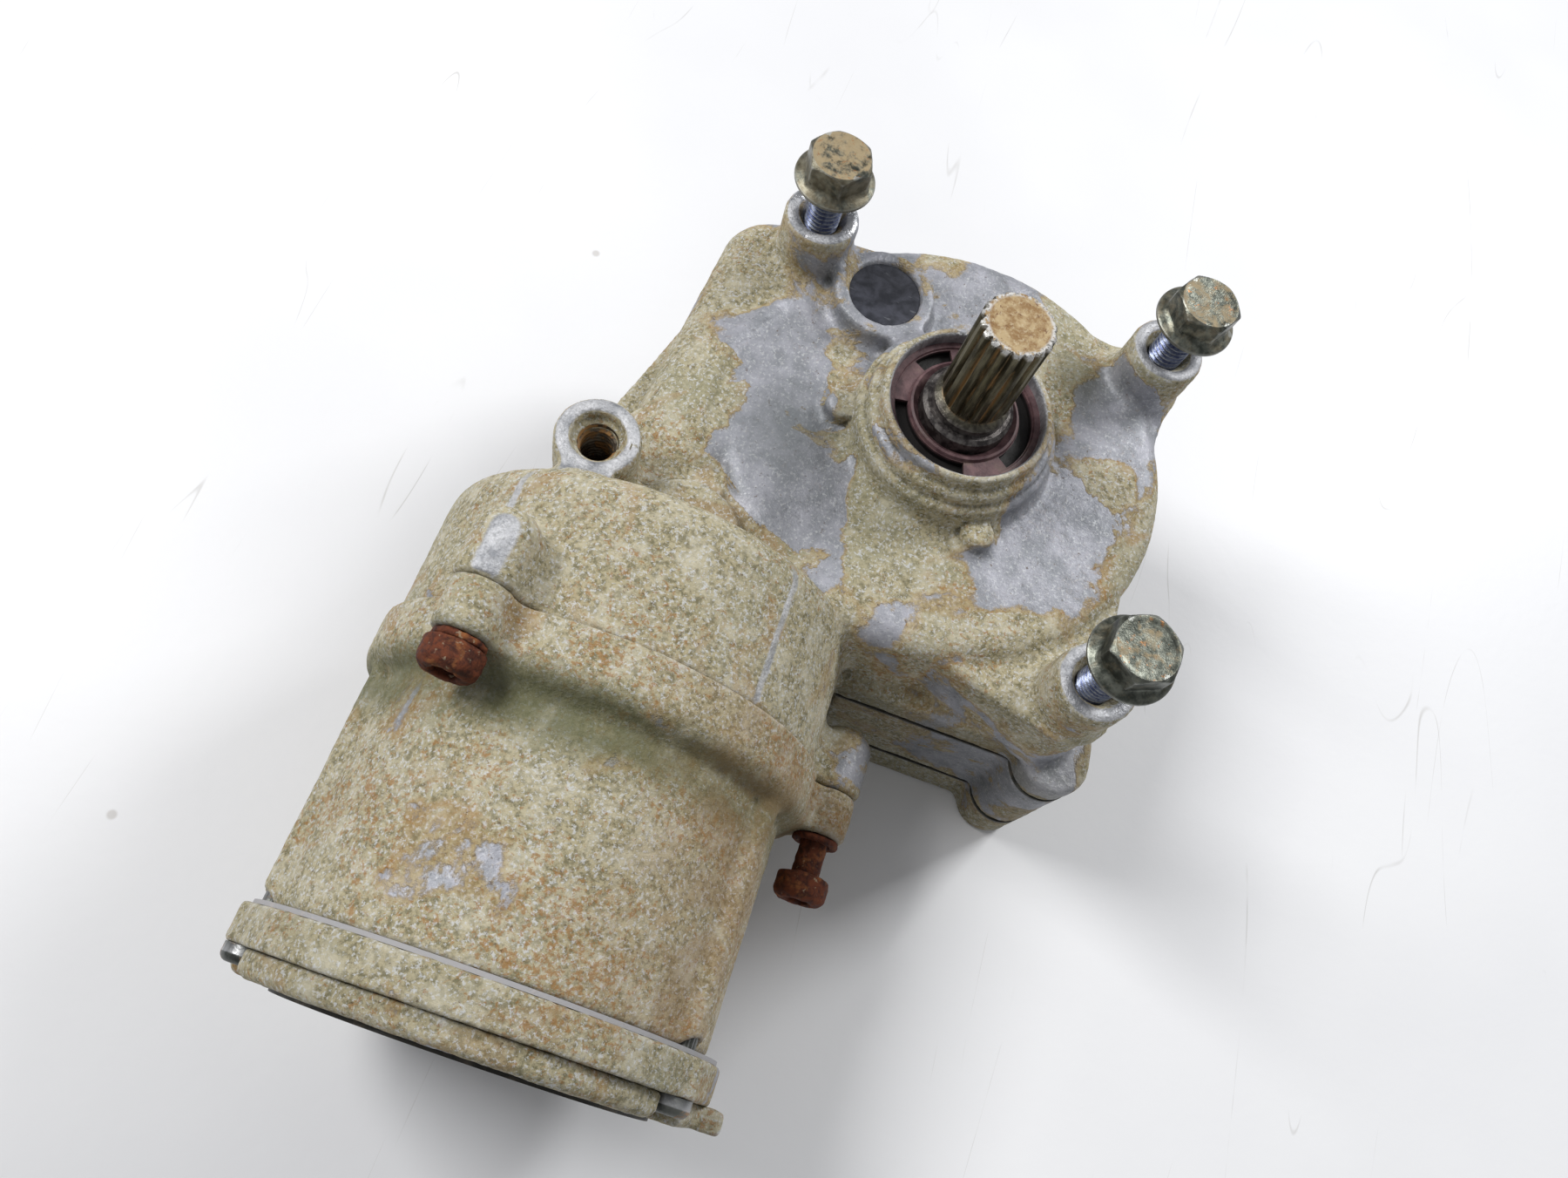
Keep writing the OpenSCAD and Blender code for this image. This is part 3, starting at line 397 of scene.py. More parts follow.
def cast_metal(
    name, seed, film=0.5, rust=0.5, tone=0.0, clean_spots=(), stains_and_shade=None, machined=None
):
    """Sand-cast aluminium under a weathered film of tan oxide with rust specks.

    film is the share of the surface under the film, rust the amount of specks and tone the
    share of dark olive mixed over all of it. clean_spots holds (centre, radius, strength) of places
    that stayed bare, or that the film covers when the strength is below 0. stains_and_shade(p,
    flow) gives (amount, colour) pairs of stains and painted shade, and machined(p) is 1 on turned
    faces.
    """
    p = Paint(name, Specular_IOR_Level=0.3)
    mottle = p.noise(5 * MM, 6, 0.6, shift=seed)
    broad = p.noise(34 * MM, 6, 0.62, 0.5, shift=seed + 0.3)
    flow = p.noise(16 * MM, 6, 0.6, 0.9, shift=seed + 0.9)
    grain = p.noise(1.1 * MM, 4, 0.7, shift=seed)
    sand = p.noise(0.7 * MM, 3, 0.7, shift=seed + 4)

    bare = p.ramp(mottle, 0.3, 0.7)
    bare_colour = p.mix(bare, CLEAN_DARK, CLEAN)
    bare_colour = p.mix(p.ramp(sand, 0.52, 0.68, 0, 0.5), bare_colour, PALE_GREY)
    bare_colour = p.mix(p.ramp(grain, 0.4, 0.28, 0, 0.5), bare_colour, rgb(96, 98, 100))

    film_colour = p.mix(p.ramp(grain, 0.36, 0.6), OLIVE, TAN)
    film_colour = p.mix(p.ramp(mottle, 0.42, 0.72, 0, 0.7), film_colour, TAN_PALE)
    film_colour = p.mix(p.ramp(broad, 0.5, 0.68, 0, 0.55), film_colour, rgb(150, 148, 120))
    film_colour = p.mix(p.ramp(flow, 0.46, 0.34, 0, 0.55), film_colour, rgb(164, 136, 96))
    film_colour = p.mix(p.ramp(sand, 0.53, 0.62, 0, 0.75), film_colour, PALE_GREY)

    level = p.math("ADD", broad, p.times(p.math("SUBTRACT", flow, 0.5), 0.5))
    level = p.math("ADD", level, p.times(p.math("SUBTRACT", grain, 0.5), 0.1))
    for centre, radius, strength in clean_spots:
        spot = p.near(centre, radius, 0.45, wobble=flow)
        level = p.math("SUBTRACT", level, p.times(spot, strength))
    low = 0.66 - 0.36 * film
    covered = p.ramp(level, low - 0.025, low + 0.025)
    colour = p.mix(p.times(covered, 0.94), bare_colour, film_colour)
    tide = p.times(p.ramp(level, low - 0.03, low + 0.01), p.ramp(level, low + 0.075, low + 0.02))
    colour = p.mix(p.times(tide, 0.42), colour, OCHRE)

    specks = p.noise(1.25 * MM, 5, 0.75, 0.3, shift=seed + 2)
    where = p.noise(20 * MM, 4, 0.6, shift=seed + 3)
    threshold = p.ramp(where, 0.32, 0.68, 0.7 - 0.1 * rust, 0.6 - 0.16 * rust)
    rusty = p.ramp(specks, threshold, p.math("ADD", threshold, 0.09))
    rusty = p.times(rusty, p.ramp(covered, 0, 1, 0.15, 1))
    colour = p.mix(p.times(rusty, 0.72), colour, RUST)
    dark = p.ramp(p.noise(1.3 * MM, 4, 0.75, shift=seed + 7), 0.38, 0.3)
    colour = p.mix(p.times(dark, 0.7), colour, BROWN)
    # Stains and painted shade given by stains_and_shade.
    if stains_and_shade is not None:
        for amount, stain_and_shade in stains_and_shade(p, flow):
            colour = p.mix(amount, colour, stain_and_shade)

    point = p.point()
    # Darker in hollows: grime and painted shade.
    hollow_grime_and_shade = p.ramp(point, 0.494, 0.455)
    colour = p.mix(p.times(hollow_grime_and_shade, 0.7), colour, DARK_OLIVE)
    # Pale ridges: edge wear and a painted highlight.
    ridge_wear_and_highlight = p.times(p.ramp(point, 0.515, 0.56), p.ramp(mottle, 0.35, 0.6))
    colour = p.mix(p.times(ridge_wear_and_highlight, 0.4), colour, PALE_GREY)
    if tone:
        colour = p.mix(tone, colour, DARK_OLIVE)

    roughness = p.ramp(covered, 0, 1, 0.5, 0.8)
    metallic = p.ramp(covered, 0, 1, 0.35, 0.05)
    height = p.math("ADD", p.times(grain, 0.7), p.times(specks, 0.5))
    height = p.math("ADD", height, p.times(sand, 0.4))
    height = p.times(height, p.ramp(covered, 0, 1, 0.55, 1))
    normal = p.bump(height, 0.34 * MM)
    if machined is not None:
        cut = machined(p)
        rings = p.noise(0.5 * MM, 2, 0.5, stretch=(1, 1, 0.1))
        cut_colour = p.mix(p.ramp(mottle, 0.4, 0.75), BRIGHT_METAL, CLEAN_DARK)
        cut_colour = p.mix(p.ramp(rings, 0.4, 0.7, 0, 0.25), cut_colour, DARK_OLIVE)
        cut = p.times(cut, p.ramp(mottle, 0.28, 0.36))
        colour = p.mix(cut, colour, cut_colour)
        roughness = p.math("SUBTRACT", roughness, p.times(cut, 0.25))
        metallic = p.most(metallic, p.times(cut, 0.75))
    return p.finish(colour, roughness, normal, metallic)


def plate_painted_shadows(p, flow):
    """Painted shadows on the plate beside the hub and between the hub and the second boss, and the
    casting darker towards the bottom of its walls.
    """
    # Painted shadows: of the hub and shaft beside the hub, and of the second boss and its bolt
    # between the hub and that boss.
    hub_shadow = p.near((-33 * MM, -13 * MM, plate_z), 11 * MM, 0.7)
    boss_shadow = p.near((25 * MM, 28 * MM, plate_z), 7 * MM, 0.7)
    # Darker towards the bottom of the walls.
    darker_low_wall = p.ramp(p.axis("Z"), -30 * MM, -40 * MM, 0, 0.5)
    return (
        (p.times(hub_shadow, 0.5), rgb(78, 84, 84)),
        (p.times(boss_shadow, 0.6), rgb(70, 72, 56)),
        (darker_low_wall, rgb(92, 88, 68)),
    )


def drum_stains_and_shade(p, flow):
    """Green stain and painted shade in the corner under the joint band, and brown over the drum's
    +X side.
    """
    along = p.axis("Y")
    corner = dome_joint_y - 12.5 * MM
    toward_corner = p.ramp(along, corner - 13 * MM, corner - 4 * MM)
    past_corner = p.ramp(along, corner + 6 * MM, corner)
    # Green stain, partly painted shade, in the recess under the joint band.
    damp_stain_and_shade = p.times(toward_corner, past_corner)
    damp_stain_and_shade = p.times(damp_stain_and_shade, p.ramp(flow, 0.3, 0.6, 0.35, 0.85))
    across = p.axis("X")
    right_side = p.times(p.ramp(across, motor_axis.x + 5 * MM, motor_axis.x + 34 * MM), 0.45)
    brown = p.times(right_side, p.ramp(flow, 0.35, 0.6))
    return ((damp_stain_and_shade, GREEN_STAIN_AND_SHADE), (brown, rgb(142, 108, 70)))


def machined_housing(p):
    """Turned faces: the tops of the bosses and the hub's rim, and the seal's bore."""
    up = p.facing_up(0.6, 0.85)
    height = p.axis("Z")
    boss_top = p.times(p.ramp(height, -0.7 * MM, -0.35 * MM), p.ramp(height, 0.6 * MM, 0.3 * MM))
    rim = p.ramp(height, hub_top_z - 0.8 * MM, hub_top_z - 0.45 * MM)
    in_hub = p.near((0, 0, 0), 17.4 * MM, 0.01, flat=True)
    hub_bore = p.times(in_hub, p.ramp(height, -9 * MM, -8 * MM))
    return p.most(p.times(p.most(boss_top, rim), up), hub_bore)


def worn_steel(name, base, dark, seed, rust=0.3, rust_colour=RUST, roughness=0.4, metallic=0.8):
    """Steel with a worn coating and rust blooms."""
    p = Paint(name)
    mottle = p.noise(2.5 * MM, 5, 0.6, shift=seed)
    bloom = p.noise(4 * MM, 6, 0.65, 0.4, shift=seed + 1)
    grain = p.noise(0.5 * MM, 3, 0.6, shift=seed)
    colour = p.mix(p.ramp(mottle, 0.35, 0.65), dark, base)
    rusty = p.ramp(bloom, 0.66 - 0.3 * rust, 0.74 - 0.3 * rust)
    colour = p.mix(p.times(rusty, 0.85), colour, rust_colour)
    point = p.point()
    colour = p.mix(p.ramp(point, 0.51, 0.56, 0, 0.6), colour, BRIGHT_METAL)
    coat_roughness = p.ramp(mottle, 0.3, 0.7, roughness - 0.08, roughness + 0.1)
    rough = p.math("ADD", coat_roughness, p.times(rusty, 0.3))
    normal = p.bump(p.math("ADD", grain, p.times(rusty, 0.6)), 0.06 * MM)
    return p.finish(colour, rough, normal, p.math("SUBTRACT", metallic, p.times(rusty, metallic)))


def bolt_finish(name, under_z, seed, rust):
    """Dark coated bolt: tan rust on the head's top, blue-violet threads under the flange."""
    p = Paint(name)
    height = p.math("SUBTRACT", p.axis("Z"), under_z)
    mottle = p.noise(1.8 * MM, 5, 0.6, shift=seed)
    bloom = p.noise(3.5 * MM, 6, 0.7, 0.3, shift=seed + 1)
    colour = p.mix(p.ramp(mottle, 0.35, 0.7), rgb(62, 66, 60), rgb(118, 121, 112))
    top = p.times(p.facing_up(), p.ramp(height, 6 * MM, 7 * MM))
    rusty = p.times(p.ramp(bloom, 0.58 - 0.3 * rust, 0.78 - 0.3 * rust), p.ramp(top, 0, 1, 0.3, 1))
    colour = p.mix(p.times(rusty, 0.75), colour, rgb(172, 152, 116))
    dots = p.ramp(p.noise(1.3 * MM, 4, 0.7, shift=seed + 5), 0.58, 0.68, 0, 0.7)
    colour = p.mix(p.times(dots, top), colour, rgb(150, 100, 52))
    thread = p.ramp(height, 0.2 * MM, -0.2 * MM)
    steel = p.mix(p.ramp(mottle, 0.4, 0.6), rgb(70, 78, 110), rgb(120, 128, 150))
    colour = p.mix(thread, colour, steel)
    point = p.point()
    # Pale edges: edge wear and a painted highlight.
    colour = p.mix(p.ramp(point, 0.52, 0.58, 0, 0.7), colour, rgb(170, 172, 168))
    rough = p.ramp(rusty, 0, 1, 0.36, 0.7)
    normal = p.bump(p.math("ADD", p.noise(0.4 * MM, 3, 0.6), p.times(rusty, 0.5)), 0.05 * MM)
    return p.finish(colour, rough, normal, p.ramp(rusty, 0, 1, 0.75, 0.1))


def crusted_rust(name, seed):
    """Thick layered rust."""
    p = Paint(name, Specular_IOR_Level=0.2)
    scale = p.noise(1.6 * MM, 6, 0.7, 0.4, shift=seed)
    patch = p.noise(3.5 * MM, 4, 0.6, shift=seed + 1)
    colour = p.mix(p.ramp(scale, 0.35, 0.65), rgb(62, 34, 28), rgb(112, 62, 42))
    colour = p.mix(p.ramp(patch, 0.55, 0.68, 0, 0.7), colour, rgb(150, 96, 56))
    pale = p.ramp(p.noise(1.2 * MM, 3, 0.6, shift=seed + 4), 0.62, 0.7, 0, 0.6)
    colour = p.mix(p.times(pale, p.facing_up(0.1, 0.8)), colour, rgb(170, 156, 132))
    return p.finish(colour, p.ramp(scale, 0.3, 0.7, 0.6, 0.9), p.bump(scale, 0.4 * MM), 0.05)


def shaft_steel():
    """Dark olive shaft: rust in the grooves, tan rusty end and a bright chipped rim round it."""
    p = Paint("shaft_steel")
    top = shaft_high.z
    streak = p.noise(1.6 * MM, 5, 0.6, 0.2, stretch=(1, 1, 0.16))
    mottle = p.noise(2 * MM, 5, 0.65, shift=4)
    grain = p.noise(0.5 * MM, 3, 0.6)
    colour = p.mix(p.ramp(streak, 0.38, 0.62), rgb(66, 62, 48), rgb(122, 118, 100))
    groove = p.near((0, 0, 0), 7.05 * MM, 0.03, flat=True)
    height = p.axis("Z")
    spline = p.ramp(height, 4 * MM, 6 * MM)
    stained = p.times(p.times(groove, spline), p.ramp(streak, 0.4, 0.62))
    colour = p.mix(p.times(stained, 0.9), colour, rgb(150, 112, 62))
    neck = p.ramp(height, 6 * MM, 3 * MM)
    neck_colour = p.mix(p.ramp(mottle, 0.4, 0.6), rgb(66, 62, 62), rgb(112, 108, 106))
    colour = p.mix(neck, colour, neck_colour)
    face = p.ramp(height, top - 0.35 * MM, top - 0.1 * MM)
    crust = p.noise(1.0 * MM, 5, 0.75, shift=12)
    end_colour = p.mix(p.ramp(mottle, 0.36, 0.62), rgb(140, 108, 66), rgb(184, 162, 124))
    end_colour = p.mix(p.ramp(crust, 0.5, 0.66, 0, 0.6), end_colour, rgb(204, 190, 160))
    pits = p.ramp(p.noise(0.9 * MM, 4, 0.75, shift=8), 0.56, 0.66, 0, 0.85)
    end_colour = p.mix(pits, end_colour, rgb(108, 70, 40))
    colour = p.mix(face, colour, end_colour)
    chips = p.noise(1.3 * MM, 4, 0.7, shift=3)
    rim_level = p.ramp(height, top - 1.6 * MM, top - 0.5 * MM)
    outer = p.near((0, 0, 0), 6.3 * MM, 0.06, flat=True)
    rim = p.times(p.times(rim_level, p.math("SUBTRACT", 1.0, outer)), p.ramp(chips, 0.4, 0.5))
    colour = p.mix(rim, colour, rgb(206, 205, 203))
    nicks = p.times(rim, p.ramp(crust, 0.52, 0.6))
    colour = p.mix(nicks, colour, rgb(96, 92, 88))
    rough = p.math("ADD", p.ramp(mottle, 0.3, 0.7, 0.3, 0.5), p.times(face, 0.3))
    metallic = p.math("SUBTRACT", 0.8, p.times(p.most(face, stained), 0.7))
    normal = p.bump(p.math("ADD", p.times(grain, 0.5), mottle), 0.12 * MM)
    return p.finish(colour, rough, normal, metallic)


def rubber(name, light, dark, size=2.2 * MM, shade_below=None):
    """Matt rubber with dust, and painted shade, near black, below a height."""
    p = Paint(name, Specular_IOR_Level=0.4)
    mottle = p.noise(size, 5, 0.6)
    grain = p.noise(0.4 * MM, 3, 0.6)
    colour = p.mix(p.ramp(mottle, 0.35, 0.7), dark, light)
    dust = p.ramp(p.noise(6 * MM, 5, 0.65, shift=2), 0.52, 0.7, 0, 0.3)
    colour = p.mix(dust, colour, rgb(130, 116, 100))
    if shade_below is not None:
        # Painted shade: near black below the given height, in the deep hollows of the seal.
        deep_shade = p.ramp(p.axis("Z"), shade_below + 0.3 * MM, shade_below - 0.5 * MM)
        colour = p.mix(deep_shade, colour, rgb(20, 17, 17))
    return p.finish(colour, p.ramp(mottle, 0.3, 0.7, 0.42, 0.62), p.bump(grain, 0.05 * MM))


def plain_metal(name, light, dark, roughness, metallic=0.9, stretch=(1, 1, 1)):
    """Machined or drawn metal with fine tool marks."""
    p = Paint(name)
    marks = p.noise(0.6 * MM, 3, 0.6, stretch=stretch)
    mottle = p.noise(4 * MM, 4, 0.55, shift=1)
    colour = p.mix(p.ramp(mottle, 0.3, 0.7), dark, light)
    colour = p.mix(p.ramp(p.point(), 0.51, 0.56, 0, 0.4), colour, BRIGHT_METAL)
    rough = p.ramp(marks, 0.3, 0.7, roughness - 0.08, roughness + 0.08)
    return p.finish(colour, rough, p.bump(marks, 0.02 * MM), metallic)


def plug_paint():
    """Blue-black plug, faintly scuffed."""
    p = Paint("plug_plastic_scuffed")
    haze = p.noise(4 * MM, 5, 0.6, 0.4)
    scuffs = p.noise(1.2 * MM, 4, 0.6, stretch=(0.3, 1, 1))
    colour = p.mix(p.ramp(haze, 0.35, 0.7), rgb(34, 36, 44), rgb(58, 60, 72))
    colour = p.mix(p.ramp(scuffs, 0.62, 0.72, 0, 0.35), colour, rgb(120, 122, 128))
    return p.finish(colour, p.ramp(haze, 0.3, 0.7, 0.3, 0.5), p.bump(scuffs, 0.04 * MM))


def floor_paint():
    """Pale worn floor with faint scratches and specks."""
    p = Paint("floor_paint", Specular_IOR_Level=0.3)
    haze = p.noise(0.22, 4, 0.5)
    colour = p.mix(p.ramp(haze, 0.3, 0.7), rgb(228, 229, 233), rgb(238, 239, 242))
    for number, turn in enumerate((0.4, 1.3, 2.4)):
        lines = line_noise(p, turn, number)
        colour = p.mix(lines, colour, rgb(176, 174, 170))
    specks = p.ramp(p.cells(0.05, 3), 0.03, 0.015, 0, 0.35)
    colour = p.mix(specks, colour, rgb(140, 128, 112))
    relief = p.bump(p.noise(4 * MM, 4), 0.05 * MM)
    return p.finish(colour, p.ramp(haze, 0.3, 0.7, 0.4, 0.55), relief)


def line_noise(p, turn, number):
    """Thin scratches that run in one direction and break off."""
    mapping = p.tree.nodes.new("ShaderNodeMapping")
    p.put(p.place, mapping.inputs["Vector"])
    mapping.inputs["Rotation"].default_value = (0, 0, turn)
    mapping.inputs["Scale"].default_value = (1, 0.12, 1)
    node = p.tree.nodes.new("ShaderNodeTexNoise")
    p.put(mapping.outputs[0], node.inputs["Vector"])
    node.inputs["Scale"].default_value = 14 + 5 * number
    node.inputs["Detail"].default_value = 2
    node.inputs["Distortion"].default_value = 0.3
    line = p.ramp(p.math("ABSOLUTE", p.math("SUBTRACT", node.outputs["Fac"], 0.5)), 0.0012, 0.0)
    gate = p.ramp(p.noise(0.05, 3, shift=number * 2.0), 0.55, 0.65)
    return p.times(p.times(line, gate), 0.5)


# ---- Pieces --------------------------------------------------------------------


def away_from_machined(points):
    """1 on rough cast skin and 0 on turned faces."""
    height = points[:, 2]
    turned = (np.abs(height) < 0.5 * MM) | (height > hub_top_z - 0.5 * MM)
    radius = np.hypot(points[:, 0], points[:, 1])
    turned |= (radius < 17.6 * MM) & (height > -22 * MM)
    near_boss = np.hypot(points[:, 0] - fourth_boss.x, points[:, 1] - fourth_boss.y) < 5.8 * MM
    turned |= near_boss & (height > -25 * MM)
    return np.where(turned, 0.08, 1.0)


def stepped_zone(x, y, z):
    """True round the hub's turned steps, the boss mouths and the plug's seat."""
    hub = (x * x + y * y < (21.8 * MM) ** 2) & (z > -10.2 * MM)
    plug = ((x - plug_centre.x) ** 2 + (y - plug_centre.y) ** 2 < (10 * MM) ** 2) & (z > -10 * MM)
    boss = ((x - fourth_boss.x) ** 2 + (y - fourth_boss.y) ** 2 < (7 * MM) ** 2) & (z > -8 * MM)
    nubs = np.zeros(np.broadcast(x, y, z).shape, bool)
    for turn in (189, 298):
        centre = 25 * MM * math.cos(math.radians(turn)), 25 * MM * math.sin(math.radians(turn))
        nubs |= ((x - centre[0]) ** 2 + (y - centre[1]) ** 2 < (4.4 * MM) ** 2) & (z > -12.1 * MM)
    return hub | plug | boss | nubs


# Unevenness of a sand-cast skin and of thick rust: size across and height of each kind of bump
CAST_WAVES = ((7 * MM, 0.08 * MM), (2.4 * MM, 0.07 * MM), (1.1 * MM, 0.07 * MM))
RUST_WAVES = ((1.8 * MM, 0.14 * MM), (0.8 * MM, 0.10 * MM))

# Thread and head of an M8 flange bolt
THREAD_PITCH = 1.25 * MM
BOLT_HEAD_HIGH = 7.6 * MM
HEXAGON_APOTHEM = 6.5 * MM


def surface_mesh(name, rows):
    """Mesh from rings of points, one ring a row, capped at both ends."""
    count = len(rows[0])
    points = [tuple(point) for row in rows for point in row]
    faces = []
    for row in range(len(rows) - 1):
        for step in range(count):
            after = (step + 1) % count
            low = row * count
            high = low + count
            faces.append((low + step, low + after, high + after, high + step))
    faces.append(tuple(reversed(range(count))))
    last = (len(rows) - 1) * count
    faces.append(tuple(last + step for step in range(count)))
    mesh = bpy.data.meshes.new(name)
    mesh.from_pydata(points, [], faces)
    mesh.shade_smooth()
    mesh.set_sharp_from_angle(angle=math.radians(20))
    mesh.update()
    piece = bpy.data.objects.new(name, mesh)
    bpy.context.scene.collection.objects.link(piece)
    return piece


def mount_bolt(name, centre, bottom, top, turn):
    """Hexagon bolt with a sloping flange, chamfered head and a real M8 thread."""
    steps = 96
    angles = np.arange(steps) * 2 * math.pi / steps
    under = top - BOLT_HEAD_HIGH
    hexagon = HEXAGON_APOTHEM / np.cos((angles + turn) % (math.pi / 3) - math.pi / 6)
    rounded_corner = HEXAGON_APOTHEM / math.cos(math.pi / 6) * 0.988
    hexagon = np.minimum(hexagon, rounded_corner)
    crest = 3.95 * MM
    depth = 0.68 * MM
    neck = 1.6 * MM
    tip = 1.0 * MM
    rows = []

    def row(radius, height):
        radius = np.broadcast_to(radius, angles.shape)
        across = centre.x + radius * np.cos(angles)
        along = centre.y + radius * np.sin(angles)
        rows.append(np.stack([across, along, np.broadcast_to(height, angles.shape)], 1))

    # Shank: a thread that fades out at the neck, with a tapered tip
    length = under - bottom
    levels = int(length / (THREAD_PITCH / 10))
    for level in range(levels + 1):
        height = bottom + length * level / levels
        turns = (height - bottom) / THREAD_PITCH - angles / (2 * math.pi)
        cut = np.clip(np.abs(turns % 1 * 2 - 1) * 1.25 - 0.1, 0, 1) * depth
        fade = min(1, max(0, (under - neck - height) / (0.5 * THREAD_PITCH)))
        taper = max(0, 1 - (height - bottom) / tip) * 0.9 * MM
        row(crest - np.maximum(cut * fade, taper), height)
    # Flange: its round edge, then the slope that runs into the hexagon
    for radius, height in (
        (4.6, 0.0), (7.9, 0.0), (8.6, 0.08), (8.86, 0.35), (8.9, 0.6), (8.84, 0.95),
        (8.5, 1.2), (7.9, 1.45),
    ):
        row(radius * MM, under + height * MM)
    for height in (1.62, 1.8, 2.0, 2.25, 2.6):
        slope = (8.0 - (height - 1.4) * 0.9) * MM
        inner = np.minimum(hexagon, slope)
        share = min(1, (height - 1.4) / 1.1)
        row(slope * (1 - share) + inner * share, under + height * MM)
    # Head: hexagon, chamfer and a shallow dish on top
    for part in np.linspace(2.9, 5.4, 4):
        row(hexagon, under + part * MM)
    for part in np.linspace(0, 1, 9):
        below_top = 1.3 * MM * (1 - part)
        cone = 6.3 * MM + below_top * 1.3
        row(np.minimum(hexagon, cone), top - below_top)
    for radius, sunk in ((6.1, 0), (5.75, 0.02), (5.4, 0.1), (5.0, 0.14), (2.6, 0.15), (0.4, 0.15)):
        row(radius * MM, top - sunk * MM)
    return surface_mesh(name, rows)


def boss_thread():
    """Internal M8 thread in the empty fourth boss."""
    turns = 14
    per_turn = 40
    outer = 4.15 * MM
    inner = 3.42 * MM
    start = -3.2 * MM
    rows = []
    for step in range(turns * per_turn + 1):
        angle = step / per_turn * 2 * math.pi
        height = start - step / per_turn * THREAD_PITCH
        fade = min(1, step / per_turn, (turns * per_turn - step) / per_turn + 0.02)
        reach = outer - (outer - inner) * fade
        section = []
        for radius, rise in (
            (outer, 0.58), (reach, 0.09), (reach, -0.09), (outer, -0.58), (outer + 0.25 * MM, 0),
        ):
            across = fourth_boss.x + radius * math.cos(angle)
            along = fourth_boss.y + radius * math.sin(angle)
            section.append((across, along, height + rise * THREAD_PITCH * 0.98))
        rows.append(section)
    return surface_mesh("fourth_boss_thread", rows)


def build_castings():
    """The castings that show, with filled corners, soft edges and a sand-cast skin."""
    voxel = 0.55
    # Places on the plate that stayed bare, and places under film: X, Y, radius and strength
    spots = tuple(
        ((x * MM, y * MM, plate_z), radius * MM, strength)
        for x, y, radius, strength in (
            (-36, -20, 17, 0.3), (-22, -37, 12, 0.3), (-42, 3, 12, 0.28), (36, 22, 10, 0.26),
            (32, -10, 9, 0.24), (22, -29, 9, 0.22), (3, 43, 10, 0.16), (-30, -30, 11, 0.24),
            (-26, 0, 5, -0.3), (-60, -12, 13, -0.4), (-5, -33, 9, -0.26), (28, -44, 11, -0.3),
            (38, 4, 6, -0.26), (-57, 22, 13, -0.2), (18, 20, 7, -0.2),
            (motor_axis.x / MM, -62, 34, -0.5),
        )
    ) + (((0, 0, plate_z + 8 * MM), 18 * MM, -0.25),)
    housing_metal = cast_metal(
        "cast_aluminium_housing", 1.0, film=0.58, rust=0.5, clean_spots=spots,
        stains_and_shade=plate_painted_shadows, machined=machined_housing,
    )
    drum_metal = cast_metal("cast_aluminium_drum", 5.0, film=0.94, rust=0.85, stains_and_shade=drum_stains_and_shade)
    flange_metal = cast_metal("cast_aluminium_flange", 9.0, film=0.82, rust=0.7, tone=0.1)
    base_metal = cast_metal("cast_aluminium_base", 13.0, film=0.7, rust=0.3, tone=0.35)
    # Voxel, corner fillet and edge radius in millimetres, and the metal
    settings = {
        "main_housing": (voxel, 1.5, 0.5, housing_metal),
        "motor_drum": (voxel, 1.4, 0.5, drum_metal),
        "end_flange": (voxel * 0.8, 0.8, 0.5, flange_metal),
        "end_cover": (voxel * 0.8, 0.8, 0.4, flange_metal),
        "lower_housing": (voxel * 1.2, 1.2, 0.6, base_metal),
        "base_cover": (voxel * 1.2, 1.0, 0.6, base_metal),
    }
    for seed, (node, (size, fillet, edge, material)) in enumerate(settings.items()):
        mask = away_from_machined if node == "main_housing" else None
        zone = stepped_zone if node == "main_housing" else None
        piece = casting(
            node, node + "_casting", size, fillet, edge, CAST_WAVES, 20 * seed, mask, zone
        )
        join_housing(piece, "cast_aluminium", material, node)


def build_bolts():
    """Mounting bolts with threads, and the rusted bolts and washers of the drum."""
    for number, part in enumerate(bolt_solids):
        low = part.min(0)
        high = part.max(0)
        name = f"mount_bolt_{number + 1}"
        turn = math.radians(12 + 25 * number)
        rust = (0.75, 0.3, 0.5)[number]
        piece = mount_bolt(name, Vector((low + high) / 2), low[2], high[2], turn)
        material = bolt_finish(name + "_finish", high[2] - BOLT_HEAD_HIGH, 3.0 * number, rust)
        join_housing(piece, "dark_steel", material, "mount_bolts")
    thick_rust = crusted_rust("crusted_rust", 2.0)
    for seed, node in enumerate(("drum_bolts", "drum_washers")):
        piece = casting(node, node + "_rusted", 0.25, 0, 0.3, RUST_WAVES, 60 + seed)
        join_housing(piece, "rusty_steel", thick_rust, node)
    thread_metal = worn_steel(
        "boss_thread_metal", rgb(120, 112, 100), rgb(70, 62, 54), 6.0, rust=0.6
    )
    join_housing(boss_thread(), "cast_aluminium", thread_metal)


